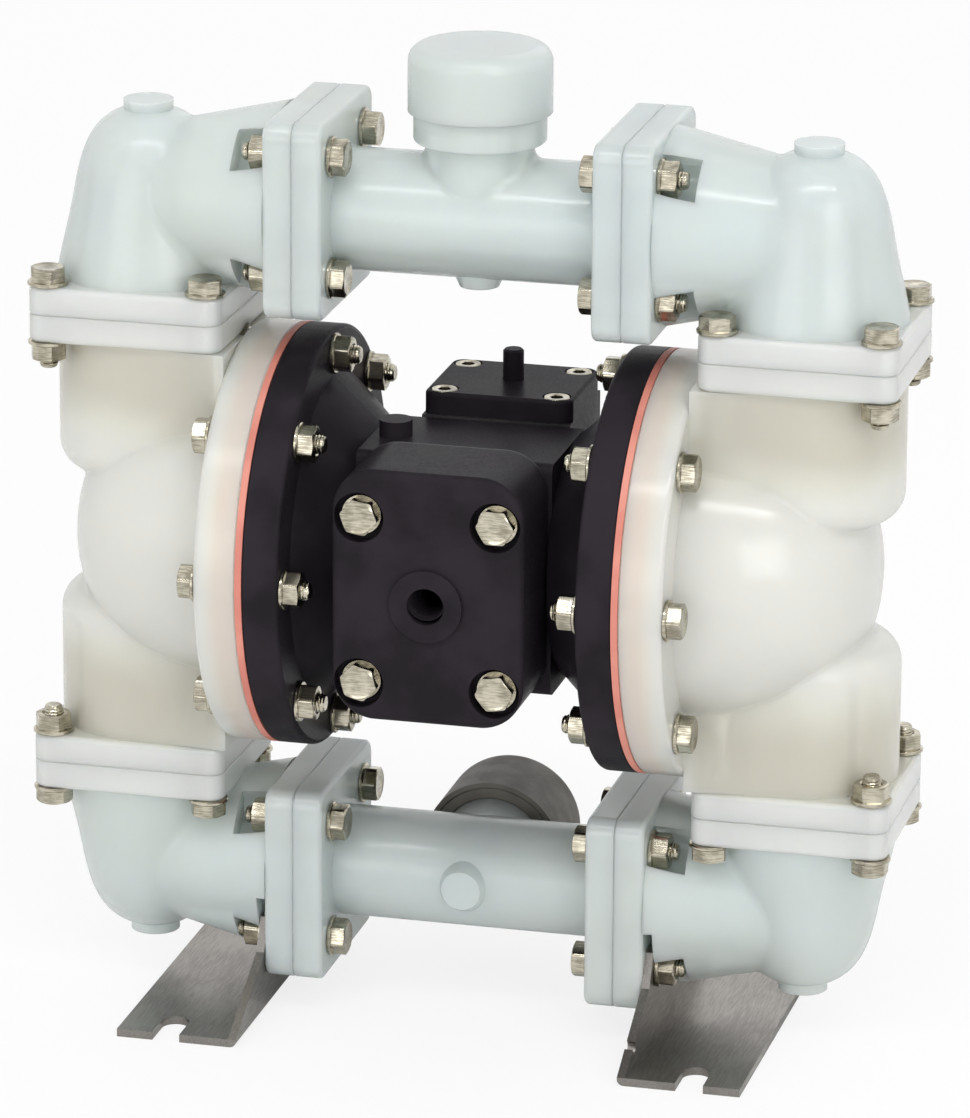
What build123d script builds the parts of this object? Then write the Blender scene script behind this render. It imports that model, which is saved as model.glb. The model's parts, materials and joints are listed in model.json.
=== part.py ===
from build123d import *
import os
from math import cos, radians, sin, sqrt

# An air operated double diaphragm pump, in millimetres.
# +X runs along the diaphragm rod, +Y to the rear, +Z up. The feet stand on Z = 0, and the
# origin is the middle of the footprint. The part is symmetric left to right.

# Overall layout
pipe_rise = 104.0             # rod axis to each manifold pipe axis
foot_drop = 41.0              # suction pipe axis to the floor
axis_z = pipe_rise + foot_drop
half_depth = 63.2             # middle plane to the cover face, and to the muffler's end
fit_gap = 0.05                # radial clearance where one piece runs or seats in another
wall = 4.0                    # general wall of the plastic castings

# M6 fasteners with a washer face
shank_r = 3.0
bolt_hole_r = 3.3
hex_r = 5.77                  # corner radius of a 10 mm hexagon
washer_r = 6.2
washer_h = 1.2
head_h = 5.5                  # washer face and hexagon together
nut_h = 6.0
thread_end = 2.5              # thread left standing past a nut
pocket_r = 7.3                # room round a head or a nut

# Diaphragm clamp stack along the rod
ring_r = 64.0                 # outside of both clamp rings
inner_ring_x = 45.0           # inboard face of the inner chamber's ring
inner_face_x = 56.0           # its face on the diaphragm
diaphragm_t = 2.0
outer_face_x = inner_face_x + diaphragm_t
outer_ring_t = 13.0
ring_out_x = outer_face_x + outer_ring_t
bolt_inset = 7.0              # ring's edge to its bolt circle
bolt_circle_r = ring_r - bolt_inset
chamber_bolt_count = 8
clamp_inset = 10.0            # bolt circle to where the diaphragm is free to bend
diaphragm_free_r = bolt_circle_r - clamp_inset

# Outer chamber
head_room = 9.0               # bolt circle to the bowl's foot
bowl_base_r = bolt_circle_r - head_room
bowl_mid_x = 107.0
bowl_mid_r = 36.6
bowl_apex_x = 123.5
bowl_lean = -0.1              # slope of the bowl where it leaves the ring
duct_x = 102.5                # axis of the vertical ducts and the valves
duct_r = 27.7
duct_bore_r = 22.5
duct_end = 18.0               # rounded end of each duct, from the rod axis
duct_round = 9.0
duct_blend = 2.0              # fillet between bowl and duct
joint_rise = 70.5             # rod axis to the joint between chamber and elbow
flange_t = 8.5
flange_size = 60.0
flange_corner = 5.0
flange_round = 1.5            # outer edge of a flange
joint_round = 0.6             # its edge at the joint
duct_bolt_half = 24.5
duct_bolt_bite = 12.0         # blind thread past the flange for the bolts beside the rings
ring_round = 1.5

# Elbows and manifold pipes
elbow_top = 26.0              # crown of the elbow above its pipe axis
elbow_mid_r = 23.4
elbow_base_r = 27.9
elbow_lean = -0.15            # slope of the upright leg where it leaves the flange
elbow_boss_r = 7.5
elbow_boss_h = 2.0
leg_base_r = 29.9
leg_tip_r = 20.0
leg_blend = 4.0               # fillet between the two legs
pipe_joint_x = 50.0
pipe_flange_t = 9.0
pipe_bolt_half = 18.5
pipe_r = 17.0                 # suction pipe, and the discharge pipe's upper side
discharge_pipe_r = 18.5       # the discharge pipe is thicker on its lower side
pipe_bore_r = 13.0
nut_pocket_depth = 11.5
foot_neck_r = 18.0            # round neck left inside the slot for the foot

# Ports: a one inch outside thread with a half inch female thread in its bore
neck_r = 16.3
neck_blend = 3.0              # fillet between pipe and neck
collar_r = 19.9
collar_t = 9.0
collar_round = 1.0
port_thread_r = 16.9
port_root_r = 15.9
port_thread_len = 17.0
port_edge = 1.0
port_bore_r = 9.2
port_bore_len = 14.0
port_inner_r = 8.4
collar_rise = 22.0            # pipe axis to the collar's near face
boss_r = 6.0
boss_base_r = 9.0
boss_h = 2.6                  # the blind boss opposite the port stands this far off the pipe
cap_r = 21.6
cap_t = 2.6
cap_round = 5.0
cap_gap = 0.2                 # between the cap's skirt and the thread
cap_headroom = 0.5
suction_skirt = 11.5          # the suction cap also hides the collar and most of the neck

# Check valves
ball_r = 14.0
ball_lift = 7.0
ball_gap = 0.2                # ball to seat at rest
seat_r = 25.5
seat_h = 7.0
seat_bore_r = 9.0
seat_mouth_r = 13.0
seal_t = 1.5
seal_w = 3.0                  # width of the manifold seals
seal_in = 1.5                 # pipe bore to the manifold seals
cage_gap = 0.8                # ball to its guide ribs
rib_t = 3.0
rib_count = 4

# Rod, plates and diaphragms
rod_r = 8.0
rod_stroke = 8.0              # each way from the middle
plate_r = 28.0
inner_plate_t = 4.0
outer_plate_t = 8.0
outer_plate_edge = 5.0
outer_plate_floor = 2.0
inner_plate_edge = 1.3
convolution_h = 5.0

# Inner chambers and centre housing
dish_wall = 4.0
dish_floor_x = 30.0
dish_floor_r = 36.0
nut_room = 7.0                # bolt circle to the dished wall
dish_mouth_r = bolt_circle_r - nut_room
rod_room = 0.6                # rod to the hole in the dished wall
housing_front = -30.0
housing_back = 13.0
housing_top = 36.0
housing_bottom = -36.0
housing_edge = 3.0
bump_x = -23.0
bump_y = -10.0
bump_r = 5.0
bump_h = 5.0
bushing_r = 11.0
bushing_x = 12.0
bushing_len = 10.0
seal_len = 3.0
pilot_rise = 21.0             # rod axis to the pilot valve axis
pilot_r = 3.5
pilot_sleeve_r = 6.5
pilot_neck_r = 2.2
pilot_groove_x = 4.0
pilot_groove = 6.0
pilot_share = 0.35            # pilot travel over rod travel
pilot_gap = 0.3               # pilot end to the inner plate at the end of the stroke
pilot_room = 0.3              # pilot to the holes in the dished walls
air_way_r = 2.5
air_way_x = 9.0
air_way_z = -17.0
feed_way_r = 3.5
feed_way_z = -18.5

# Inlet cover
cover_half_w = 29.0
cover_top = 40.0
cover_bottom = -37.0
cover_corner = 13.0
cover_edge = 2.5
cover_bolt_x = 20.6
cover_bolt_z = 25.5
cover_pocket_r = 7.6
cover_pocket_depth = 4.6
cover_bolt_bite = 14.0
inlet_r = 5.6                 # quarter inch pipe thread
inlet_len = 14.0
inlet_way_r = 4.6             # the way on from the thread to the plenum
inlet_boss_r = 11.0
inlet_boss_h = 1.2
plenum_w = 28.0
plenum_h = 44.0
plenum_depth = 14.0
gasket_t = 1.0

# Main air valve at the rear
valve_half_w = 23.0
valve_back = 53.0
valve_half_h = 36.0
valve_cap_t = 7.0
valve_x = 2.0
valve_y = 35.0
sleeve_r = 12.0
spool_r = 9.0
spool_neck_r = 5.5
spool_land = 12.0
spool_groove = 8.0
spool_rest_gap = 0.2
port_window_r = 1.8
port_window_rise = 17.0
port_window_pairs = 3
spool_len = 60.0
pin_r = 3.2
pin_gap = 0.15
pin_stand = 9.5               # the pin above the top cap at rest
pin_bite = 6.0
pin_edge = 0.64
cap_screw_x = 17.5
cap_screw_y = 14.5
screw_r = 2.5
screw_head_r = 4.25
screw_head_h = 5.0
screw_bite = 6.0
socket_r = 2.125              # corner radius of the hexagon socket
socket_depth = 2.5
mount_screw_x = 17.0         # either side of the spool axis
mount_screw_z = 25.0
mount_screw_bite = 5.0
muffler_r = 12.0
muffler_nipple_r = 6.0
muffler_nipple_len = 5.0
muffler_slots = 10
muffler_slot = 1.6
muffler_edge = 1.5
muffler_lip = 1.0             # plain length either side of the slots
valve_cap_corner = 4.0
valve_cap_edge = 1.2

# Feet
foot_t = 2.5
foot_bend = 2.0               # outside of the bend
foot_base_w = 37.4
foot_len = 123.2
foot_shoulder = 30.0
foot_ear_r = 6.5
notch_w = 8.5
notch_depth = 14.5
notch_out = 22.0              # notch centre from the web's inboard face
tab_hole_r = 2.0
tab_hole_in = 12.0
tab_hole_rise = 5.0
slot_gap = 0.3

# Places worked out from the sizes above
elbow_flange_x = pipe_joint_x + pipe_flange_t
pipe_flange_x = pipe_joint_x - pipe_flange_t
crown_rise = pipe_rise + elbow_top
flange_rise = joint_rise - flange_t
elbow_flange_rise = joint_rise + flange_t
# The ball touches a 45 degree cone at this radius
contact_r = ball_r * sin(radians(45))
ball_seated = seat_h - (seat_mouth_r - contact_r) + contact_r + ball_gap * sqrt(2)
valve_top = valve_half_h + valve_cap_t
valve_front = housing_back + gasket_t
valve_mid = (valve_front + valve_back) / 2
cover_back = housing_front - gasket_t
cover_face = inlet_boss_h - half_depth
cover_mid = (cover_top + cover_bottom) / 2
spool_low = spool_rest_gap - valve_half_h
rod_end = outer_face_x + outer_plate_t - outer_plate_floor
plate_reach = inner_face_x - inner_plate_t - rod_stroke
pilot_end = plate_reach - pilot_gap + pilot_share * rod_stroke

front_plane = Plane(origin=(0, 0, axis_z), x_dir=(1, 0, 0), z_dir=(0, -1, 0))
rod_axis = Axis((0, 0, axis_z), (1, 0, 0))
duct_axis = Axis((duct_x, 0, 0), (0, 0, 1))
chamber_spots = [
    (bolt_circle_r * cos(radians(360 / chamber_bolt_count * k)),
     bolt_circle_r * sin(radians(360 / chamber_bolt_count * k)))
    for k in range(chamber_bolt_count)
]
inner_spots = [(-duct_bolt_half, v * duct_bolt_half) for v in (-1, 1)]
outer_spots = [(duct_bolt_half, v * duct_bolt_half) for v in (-1, 1)]
duct_spots = inner_spots + outer_spots
pipe_spots = [(u * pipe_bolt_half, v * pipe_bolt_half) for u in (-1, 1) for v in (-1, 1)]
cover_spots = [(u * cover_bolt_x, v * cover_bolt_z) for u in (-1, 1) for v in (-1, 1)]
mount_spots = [(valve_x + u * mount_screw_x, v * mount_screw_z) for u in (-1, 1) for v in (-1, 1)]
cap_spots = [(u * cap_screw_x, v * cap_screw_y) for u in (-1, 1) for v in (-1, 1)]


def across_rod(x, facing=1, rise=0.0):
    """Plane across the rod axis at x, facing +X or -X"""
    return Plane(origin=(x, 0, axis_z + rise), x_dir=(0, 1, 0), z_dir=(facing, 0, 0))


def across_duct(rise, facing=1, x=duct_x):
    """Level plane on a duct axis at a height from the rod axis, facing up or down"""
    return Plane(origin=(x, 0, axis_z + rise), x_dir=(1, 0, 0), z_dir=(0, 0, facing))


def facing_front(y, rise=0.0):
    """Upright plane at y whose normal points to the front"""
    return Plane(origin=(0, y, axis_z + rise), x_dir=(1, 0, 0), z_dir=(0, -1, 0))


def mirrored(part):
    """The left-hand copy of a right-hand piece"""
    return mirror(part, about=Plane.YZ)


def save(part, name):
    """Label a finished piece and write it"""
    part.label = name
    export_step(part, f"parts/{name}.step")


def flange(plane, thick):
    """Square flange whose joint face lies on a plane, its body along the normal"""
    with BuildPart() as plate:
        with BuildSketch(plane):
            RectangleRounded(flange_size, flange_size, flange_corner)
        extrude(amount=thick)
        ends = plate.faces().filter_by(plane)
        fillet(ends.sort_by_distance(plane.origin)[0].edges(), joint_round)
        ends = plate.faces().filter_by(plane)
        fillet(ends.sort_by_distance(plane.origin)[-1].edges(), flange_round)
    return plate.part


def bolt_set(stacks):
    """Bolts for a list of (seat plane, spots, grip), heads above each plane"""
    with BuildPart() as bolts:
        for seat, spots, grip in stacks:
            with BuildSketch(seat):
                with Locations(*spots):
                    Circle(washer_r)
            extrude(amount=washer_h)
            with BuildSketch(seat.offset(washer_h)):
                with Locations(*spots):
                    RegularPolygon(hex_r, 6)
            extrude(amount=head_h - washer_h)
            with BuildSketch(seat):
                with Locations(*spots):
                    Circle(shank_r)
            extrude(amount=-grip)
    return bolts.part


def nut_set(seats):
    """Nuts for a list of (seat plane, spots), standing on each plane"""
    with BuildPart() as nuts:
        for seat, spots in seats:
            with BuildSketch(seat):
                with Locations(*spots):
                    Circle(washer_r)
                    Circle(shank_r + fit_gap, mode=Mode.SUBTRACT)
            extrude(amount=washer_h)
            with BuildSketch(seat.offset(washer_h)):
                with Locations(*spots):
                    RegularPolygon(hex_r, 6)
                    Circle(shank_r + fit_gap, mode=Mode.SUBTRACT)
            extrude(amount=nut_h - washer_h)
    return nuts.part


def ball_cage(rise):
    """Guide ribs that meet over a check ball, between the seat and the top of its lift"""
    ball_low = rise + ball_seated
    ball_high = ball_low + ball_lift + cage_gap
    guide_r = ball_r + cage_gap
    with BuildPart() as cage:
        with BuildSketch(across_duct(rise + seat_h)):
            with PolarLocations(0, rib_count, start_angle=45):
                Rectangle(duct_bore_r, rib_t, align=(Align.MIN, Align.CENTER))
        extrude(amount=ball_high + guide_r + wall - rise - seat_h)
        with BuildSketch(front_plane):
            with BuildLine():
                Polyline(
                    (duct_x, ball_high + guide_r),
                    (duct_x, rise),
                    (duct_x + guide_r, rise),
                    (duct_x + guide_r, ball_high),
                )
                RadiusArc((duct_x + guide_r, ball_high), (duct_x, ball_high + guide_r), -guide_r)
            make_face()
        revolve(axis=duct_axis, mode=Mode.SUBTRACT)
    return cage.part


def chamber_duct(level):
    """Solid duct with a rounded end, which widens to the clamp ring for the bolts beside it"""
    with BuildPart() as duct:
        with BuildSketch(front_plane):
            with BuildLine():
                Polyline(
                    (duct_x + duct_r, level * (duct_end + duct_round)),
                    (duct_x + duct_r, level * joint_rise),
                    (duct_x, level * joint_rise),
                    (duct_x, level * duct_end),
                    (duct_x + duct_r - duct_round, level * duct_end),
                )
                RadiusArc(
                    (duct_x + duct_r - duct_round, level * duct_end),
                    (duct_x + duct_r, level * (duct_end + duct_round)),
                    -level * duct_round,
                )
            make_face()
        revolve(axis=duct_axis)
        with BuildSketch(Plane.XY.offset(axis_z + level * duct_end)):
            Polygon(
                (ring_out_x, flange_size / 2),
                (duct_x, duct_r),
                (duct_x, -duct_r),
                (ring_out_x, -flange_size / 2),
                align=None,
            )
        extrude(amount=level * (flange_rise - duct_end))
    return duct.part


def outer_chamber():
    """Right-hand wetted chamber: bowl, clamp ring, two ducts and their flanges"""
    lower_cage = ball_cage(-joint_rise)
    ducts = [chamber_duct(level) for level in (1, -1)]
    with BuildPart() as chamber:
        with BuildSketch(front_plane):
            with BuildLine():
                Polyline(
                    (bowl_apex_x, 0),
                    (outer_face_x, 0),
                    (outer_face_x, ring_r - joint_round),
                    (outer_face_x + joint_round, ring_r),
                    (ring_out_x - ring_round, ring_r),
                )
                RadiusArc((ring_out_x - ring_round, ring_r), (ring_out_x, ring_r - ring_round), ring_round)
                Line((ring_out_x, ring_r - ring_round), (ring_out_x, bowl_base_r))
                Spline(
                    (ring_out_x, bowl_base_r),
                    (bowl_mid_x, bowl_mid_r),
                    (bowl_apex_x, 0),
                    tangents=((1, bowl_lean), (0, -1)),
                )
            make_face()
        revolve(axis=rod_axis)
        for duct in ducts:
            add(duct)
        for level in (1, -1):
            creases = [
                edge for edge in chamber.edges().filter_by(GeomType.BSPLINE)
                if level * (edge.center().Z - axis_z) > duct_end - duct_blend
            ]
            fillet(creases, duct_blend)
        for level in (1, -1):
            add(flange(across_duct(level * joint_rise, -level), flange_t))
        # Wet inside: the bowl's hollow and the two duct bores
        with BuildSketch(front_plane):
            with BuildLine():
                Polyline(
                    (bowl_apex_x - wall, 0),
                    (outer_face_x, 0),
                    (outer_face_x, diaphragm_free_r),
                    (ring_out_x, bowl_base_r - wall),
                )
                Spline(
                    (ring_out_x, bowl_base_r - wall),
                    (bowl_mid_x - wall / 2, bowl_mid_r - wall),
                    (bowl_apex_x - wall, 0),
                    tangents=((1, bowl_lean), (0, -1)),
                )
            make_face()
        revolve(axis=rod_axis, mode=Mode.SUBTRACT)
        for level in (1, -1):
            with BuildSketch(across_duct(level * (duct_end + wall), level)):
                Circle(duct_bore_r)
            extrude(amount=joint_rise - duct_end - wall, mode=Mode.SUBTRACT)
        # The lower flange holds the suction seat, the upper one the discharge seal
        with BuildSketch(across_duct(-joint_rise)):
            Circle(seat_r)
        extrude(amount=seat_h, mode=Mode.SUBTRACT)
        with BuildSketch(across_duct(joint_rise, -1)):
            Circle(seat_r)
        extrude(amount=seal_t, mode=Mode.SUBTRACT)
        add(lower_cage)
        # Bolt holes, and pockets for the heads under the ducts
        with BuildSketch(across_rod(outer_face_x)):
            with Locations(*chamber_spots):
                Circle(bolt_hole_r)
        extrude(amount=outer_ring_t, mode=Mode.SUBTRACT)
        with BuildSketch(across_rod(ring_out_x)):
            with Locations((0, bolt_circle_r), (0, -bolt_circle_r)):
                Circle(pocket_r)
        extrude(amount=head_h + fit_gap, mode=Mode.SUBTRACT)
        for level in (1, -1):
            with BuildSketch(Plane.XY.offset(axis_z + level * joint_rise)):
                with Locations(*[(duct_x + u, v) for u, v in outer_spots]):
                    Circle(bolt_hole_r)
            extrude(amount=-level * flange_t, mode=Mode.SUBTRACT)
            with BuildSketch(Plane.XY.offset(axis_z + level * joint_rise)):
                with Locations(*[(duct_x + u, v) for u, v in inner_spots]):
                    Circle(shank_r + fit_gap)
            extrude(amount=-level * (flange_t + duct_bolt_bite), mode=Mode.SUBTRACT)
    return chamber.part


def elbow_leg(level):
    """Upright leg of an elbow with its domed crown, solid"""
    with BuildPart() as leg:
        with BuildSketch(front_plane):
            with BuildLine():
                Polyline(
                    (duct_x, level * crown_rise),
                    (duct_x, level * joint_rise),
                    (duct_x + elbow_base_r, level * joint_rise),
                    (duct_x + elbow_base_r, level * elbow_flange_rise),
                )
                Spline(
                    (duct_x + elbow_base_r, level * elbow_flange_rise),
                    (duct_x + elbow_mid_r, level * (pipe_rise - wall)),
                    (duct_x, level * crown_rise),
                    tangents=((elbow_lean, level), (-1, 0)),
                )
            make_face()
        revolve(axis=duct_axis)
    return leg.part


def elbow(level):
    """Right-hand elbow, upper for level 1 and lower for level -1"""
    pipe_plane = across_rod(pipe_joint_x, 1, level * pipe_rise)
    leg_plane = across_rod(elbow_flange_x, 1, level * pipe_rise)
    pipe_axis = Axis((0, 0, axis_z + level * pipe_rise), (1, 0, 0))
    leg = elbow_leg(level)
    upper_cage = ball_cage(joint_rise) & elbow_leg(1)
    with BuildPart() as body:
        add(leg)
        # Level leg, a cone that starts as wide as the pipe flange
        with BuildSketch(front_plane):
            Polygon(
                (elbow_flange_x, level * pipe_rise),
                (elbow_flange_x, level * (pipe_rise + leg_base_r)),
                (duct_x, level * (pipe_rise + leg_tip_r)),
                (duct_x, level * pipe_rise),
                align=None,
            )
        revolve(axis=pipe_axis)
        fillet(body.edges(Select.NEW).filter_by(GeomType.BSPLINE), leg_blend)
        add(flange(across_duct(level * joint_rise, level), flange_t))
        with BuildSketch(across_duct(level * (crown_rise - wall), level)):
            Circle(elbow_boss_r)
        extrude(amount=wall + elbow_boss_h)
        add(flange(pipe_plane, pipe_flange_t))
        # Wet inside
        with BuildSketch(front_plane):
            with BuildLine():
                Polyline(
                    (duct_x, level * (crown_rise - wall)),
                    (duct_x, level * joint_rise),
                    (duct_x + duct_bore_r, level * joint_rise),
                    (duct_x + duct_bore_r, level * elbow_flange_rise),
                )
                Spline(
                    (duct_x + duct_bore_r, level * elbow_flange_rise),
                    (duct_x + elbow_mid_r - wall, level * (pipe_rise - wall)),
                    (duct_x, level * (crown_rise - wall)),
                    tangents=((elbow_lean, level), (-1, 0)),
                )
            make_face()
        revolve(axis=duct_axis, mode=Mode.SUBTRACT)
        with BuildSketch(pipe_plane):
            Circle(pipe_bore_r)
        extrude(amount=duct_x - pipe_joint_x, mode=Mode.SUBTRACT)
        with BuildSketch(across_duct(level * joint_rise, level)):
            Circle(seat_r)
        extrude(amount=seat_h if level > 0 else seal_t, mode=Mode.SUBTRACT)
        if level > 0:
            add(upper_cage)
        # Bolt holes, and pockets for the nuts in the level leg
        with BuildSketch(across_duct(level * joint_rise, level)):
            with Locations(*duct_spots):
                Circle(bolt_hole_r)
        extrude(amount=flange_t, mode=Mode.SUBTRACT)
        with BuildSketch(pipe_plane):
            with Locations(*pipe_spots):
                Circle(bolt_hole_r)
        extrude(amount=pipe_flange_t, mode=Mode.SUBTRACT)
        with BuildSketch(leg_plane):
            with Locations(*pipe_spots):
                Circle(pocket_r)
        extrude(amount=nut_pocket_depth, mode=Mode.SUBTRACT)
        if level < 0:
            # Slot that takes the foot's web against the flange
            with BuildSketch(leg_plane):
                with Locations((0, pipe_bolt_half + foot_ear_r + slot_gap - flange_size)):
                    Rectangle(flange_size, flange_size)
                Circle(foot_neck_r, mode=Mode.SUBTRACT)
                with Locations((0, flange_size / 2)):
                    Rectangle(flange_size, flange_size, mode=Mode.SUBTRACT)
            extrude(amount=foot_t + slot_gap, mode=Mode.SUBTRACT)
    return body.part


def manifold(port_plane, outer_r):
    """A pipe with two flanges, a port along the plane's normal and a blind boss opposite"""
    far_side = 2 * outer_r - pipe_r
    along = Plane(
        origin=port_plane.origin - Vector(pipe_joint_x, 0, 0),
        x_dir=port_plane.z_dir,
        z_dir=(1, 0, 0),
    )
    port_end = collar_rise + collar_t + port_thread_len
    with BuildPart() as pipe:
        with BuildSketch(along):
            with Locations((pipe_r - outer_r, 0)):
                Circle(outer_r)
        extrude(amount=2 * pipe_joint_x)
        with BuildSketch(port_plane):
            Circle(neck_r)
        extrude(amount=collar_rise)
        fillet(pipe.edges(Select.NEW).filter_by(GeomType.BSPLINE), neck_blend)
        for end in (along, Plane(along.offset(2 * pipe_joint_x).origin, along.x_dir, (-1, 0, 0))):
            add(flange(end, pipe_flange_t))
        with BuildSketch(port_plane.offset(collar_rise)):
            Circle(collar_r)
        extrude(amount=collar_t)
        rims = pipe.edges(Select.LAST).filter_by(GeomType.CIRCLE)
        fillet(rims.filter_by(lambda rim: rim.radius > neck_r), collar_round)
        with BuildSketch(port_plane.offset(collar_rise + collar_t)):
            Circle(port_root_r)
        extrude(amount=port_thread_len)
        tip = pipe.edges().filter_by(GeomType.CIRCLE).sort_by_distance(port_plane.offset(port_end).origin)[0]
        chamfer(tip, port_edge)
        with BuildSketch(port_plane.offset(wall - far_side)):
            Circle(boss_base_r)
        with BuildSketch(port_plane.offset(-far_side - boss_h)):
            Circle(boss_r)
        loft()
        # Bores
        with BuildSketch(along):
            Circle(pipe_bore_r)
        extrude(amount=2 * pipe_joint_x, mode=Mode.SUBTRACT)
        with BuildSketch(port_plane):
            Circle(port_inner_r)
        extrude(amount=port_end, mode=Mode.SUBTRACT)
        with BuildSketch(port_plane.offset(port_end)):
            Circle(port_bore_r)
        extrude(amount=-port_bore_len, mode=Mode.SUBTRACT)
        # Seal grooves and bolt holes in both flanges
        for start, facing in ((0.0, 1), (2 * pipe_joint_x, -1)):
            with BuildSketch(along.offset(start)):
                Circle(pipe_bore_r + seal_in + seal_w)
                Circle(pipe_bore_r + seal_in, mode=Mode.SUBTRACT)
            extrude(amount=facing * seal_t, mode=Mode.SUBTRACT)
            with BuildSketch(along.offset(start)):
                with Locations(*pipe_spots):
                    Circle(bolt_hole_r)
            extrude(amount=facing * pipe_flange_t, mode=Mode.SUBTRACT)
    return pipe.part


def thread_cap(port_plane, skirt):
    """Cap over a port's outside thread, standing on its collar, with a skirt past the collar"""
    seat = collar_rise + collar_t
    top = seat + port_thread_len + cap_headroom + cap_t
    across = port_plane.x_dir
    section = Plane(origin=port_plane.origin, x_dir=across, z_dir=across.cross(port_plane.z_dir))
    with BuildPart() as cap:
        with BuildSketch(section):
            with BuildLine():
                Polyline(
                    (0, top - cap_t),
                    (port_thread_r + cap_gap, top - cap_t),
                    (port_thread_r + cap_gap, seat),
                    (cap_r, seat),
                    (cap_r, top - cap_round),
                )
                RadiusArc((cap_r, top - cap_round), (cap_r - cap_round, top), -cap_round)
                Polyline((cap_r - cap_round, top), (0, top), (0, top - cap_t))
            make_face()
        revolve(axis=Axis(port_plane.origin, port_plane.z_dir))
        if skirt > 0:
            with BuildSketch(port_plane.offset(seat)):
                Circle(cap_r)
                Circle(collar_r + cap_gap, mode=Mode.SUBTRACT)
            extrude(amount=-skirt)
    return cap.part


def ring_piece(plane, outer, inner, length):
    """A plain ring standing on a plane"""
    with BuildPart() as ring:
        with BuildSketch(plane):
            Circle(outer)
            Circle(inner, mode=Mode.SUBTRACT)
        extrude(amount=length)
    return ring.part


def check_ball(rise):
    """A ball just over the mouth of the seat whose foot lies at this height"""
    with BuildPart() as ball:
        with BuildSketch(front_plane):
            with BuildLine():
                low = (duct_x, rise + ball_seated - ball_r)
                high = (duct_x, rise + ball_seated + ball_r)
                ThreePointArc(low, (duct_x + ball_r, rise + ball_seated), high)
                Line(high, low)
            make_face()
        revolve(axis=duct_axis)
    return ball.part


def valve_seat(rise):
    """Seat ring with a 45 degree mouth"""
    with BuildPart() as seat:
        with BuildSketch(front_plane):
            Polygon(
                (duct_x + seat_bore_r, rise),
                (duct_x + seat_r - fit_gap, rise),
                (duct_x + seat_r - fit_gap, rise + seat_h),
                (duct_x + seat_mouth_r, rise + seat_h),
                (duct_x + seat_bore_r, rise + seat_h - seat_mouth_r + seat_bore_r),
                align=None,
            )
        revolve(axis=duct_axis)
    return seat.part


def diaphragm():
    """Right-hand diaphragm with one rolling convolution between clamp and plates"""
    middle = (diaphragm_free_r + plate_r) / 2
    crest = inner_face_x + convolution_h
    with BuildPart() as sheet:
        with BuildSketch(front_plane):
            with BuildLine():
                Polyline(
                    (inner_face_x, plate_r + diaphragm_t),
                    (inner_face_x, rod_r + fit_gap),
                    (outer_face_x, rod_r + fit_gap),
                    (outer_face_x, plate_r + diaphragm_t),
                )
                ThreePointArc(
                    (outer_face_x, plate_r + diaphragm_t),
                    (crest + diaphragm_t, middle),
                    (outer_face_x, diaphragm_free_r - diaphragm_t),
                )
                Polyline(
                    (outer_face_x, diaphragm_free_r - diaphragm_t),
                    (outer_face_x, ring_r),
                    (inner_face_x, ring_r),
                    (inner_face_x, diaphragm_free_r - diaphragm_t),
                )
                ThreePointArc(
                    (inner_face_x, diaphragm_free_r - diaphragm_t),
                    (crest, middle),
                    (inner_face_x, plate_r + diaphragm_t),
                )
            make_face()
        revolve(axis=rod_axis)
        with BuildSketch(across_rod(inner_face_x)):
            with Locations(*chamber_spots):
                Circle(bolt_hole_r)
        extrude(amount=diaphragm_t, mode=Mode.SUBTRACT)
    return sheet.part


def inner_plate():
    """Right-hand plate on the air side"""
    with BuildPart() as plate:
        with BuildSketch(across_rod(inner_face_x, -1)):
            Circle(plate_r)
            Circle(rod_r, mode=Mode.SUBTRACT)
        extrude(amount=inner_plate_t)
        fillet(plate.faces().sort_by(Axis.X)[0].outer_wire().edges(), inner_plate_edge)
    return plate.part


def outer_plate():
    """Right-hand plate on the liquid side, round-edged, with a blind hole for the rod's end"""
    with BuildPart() as plate:
        with BuildSketch(across_rod(outer_face_x)):
            Circle(plate_r)
        extrude(amount=outer_plate_t)
        fillet(plate.faces().sort_by(Axis.X)[-1].edges(), outer_plate_edge)
        with BuildSketch(across_rod(outer_face_x)):
            Circle(rod_r)
        extrude(amount=rod_end - outer_face_x, mode=Mode.SUBTRACT)
    return plate.part


def inner_chamber():
    """Right-hand air chamber: dished wall, clamp ring and the holes for rod, pilot and air"""
    with BuildPart() as dish:
        with BuildSketch(front_plane):
            with BuildLine():
                Polyline(
                    (inner_ring_x + ring_round, ring_r),
                    (inner_face_x - joint_round, ring_r),
                    (inner_face_x, ring_r - joint_round),
                    (inner_face_x, diaphragm_free_r),
                    (dish_floor_x + dish_wall, dish_floor_r - dish_wall / 2),
                    (dish_floor_x + dish_wall, rod_r + rod_room),
                    (dish_floor_x, rod_r + rod_room),
                    (dish_floor_x, dish_floor_r),
                    (inner_ring_x, dish_mouth_r),
                    (inner_ring_x, ring_r - ring_round),
                )
                RadiusArc((inner_ring_x, ring_r - ring_round), (inner_ring_x + ring_round, ring_r), ring_round)
            make_face()
        revolve(axis=rod_axis)
        with BuildSketch(across_rod(inner_ring_x)):
            with Locations(*chamber_spots):
                Circle(bolt_hole_r)
        extrude(amount=inner_face_x - inner_ring_x, mode=Mode.SUBTRACT)
        with BuildSketch(across_rod(dish_floor_x)):
            with Locations((0, pilot_rise)):
                Circle(pilot_r + pilot_room)
            with Locations((0, air_way_z)):
                Circle(air_way_r)
        extrude(amount=dish_wall, mode=Mode.SUBTRACT)
    return dish.part


os.makedirs("parts", exist_ok=True)

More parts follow.
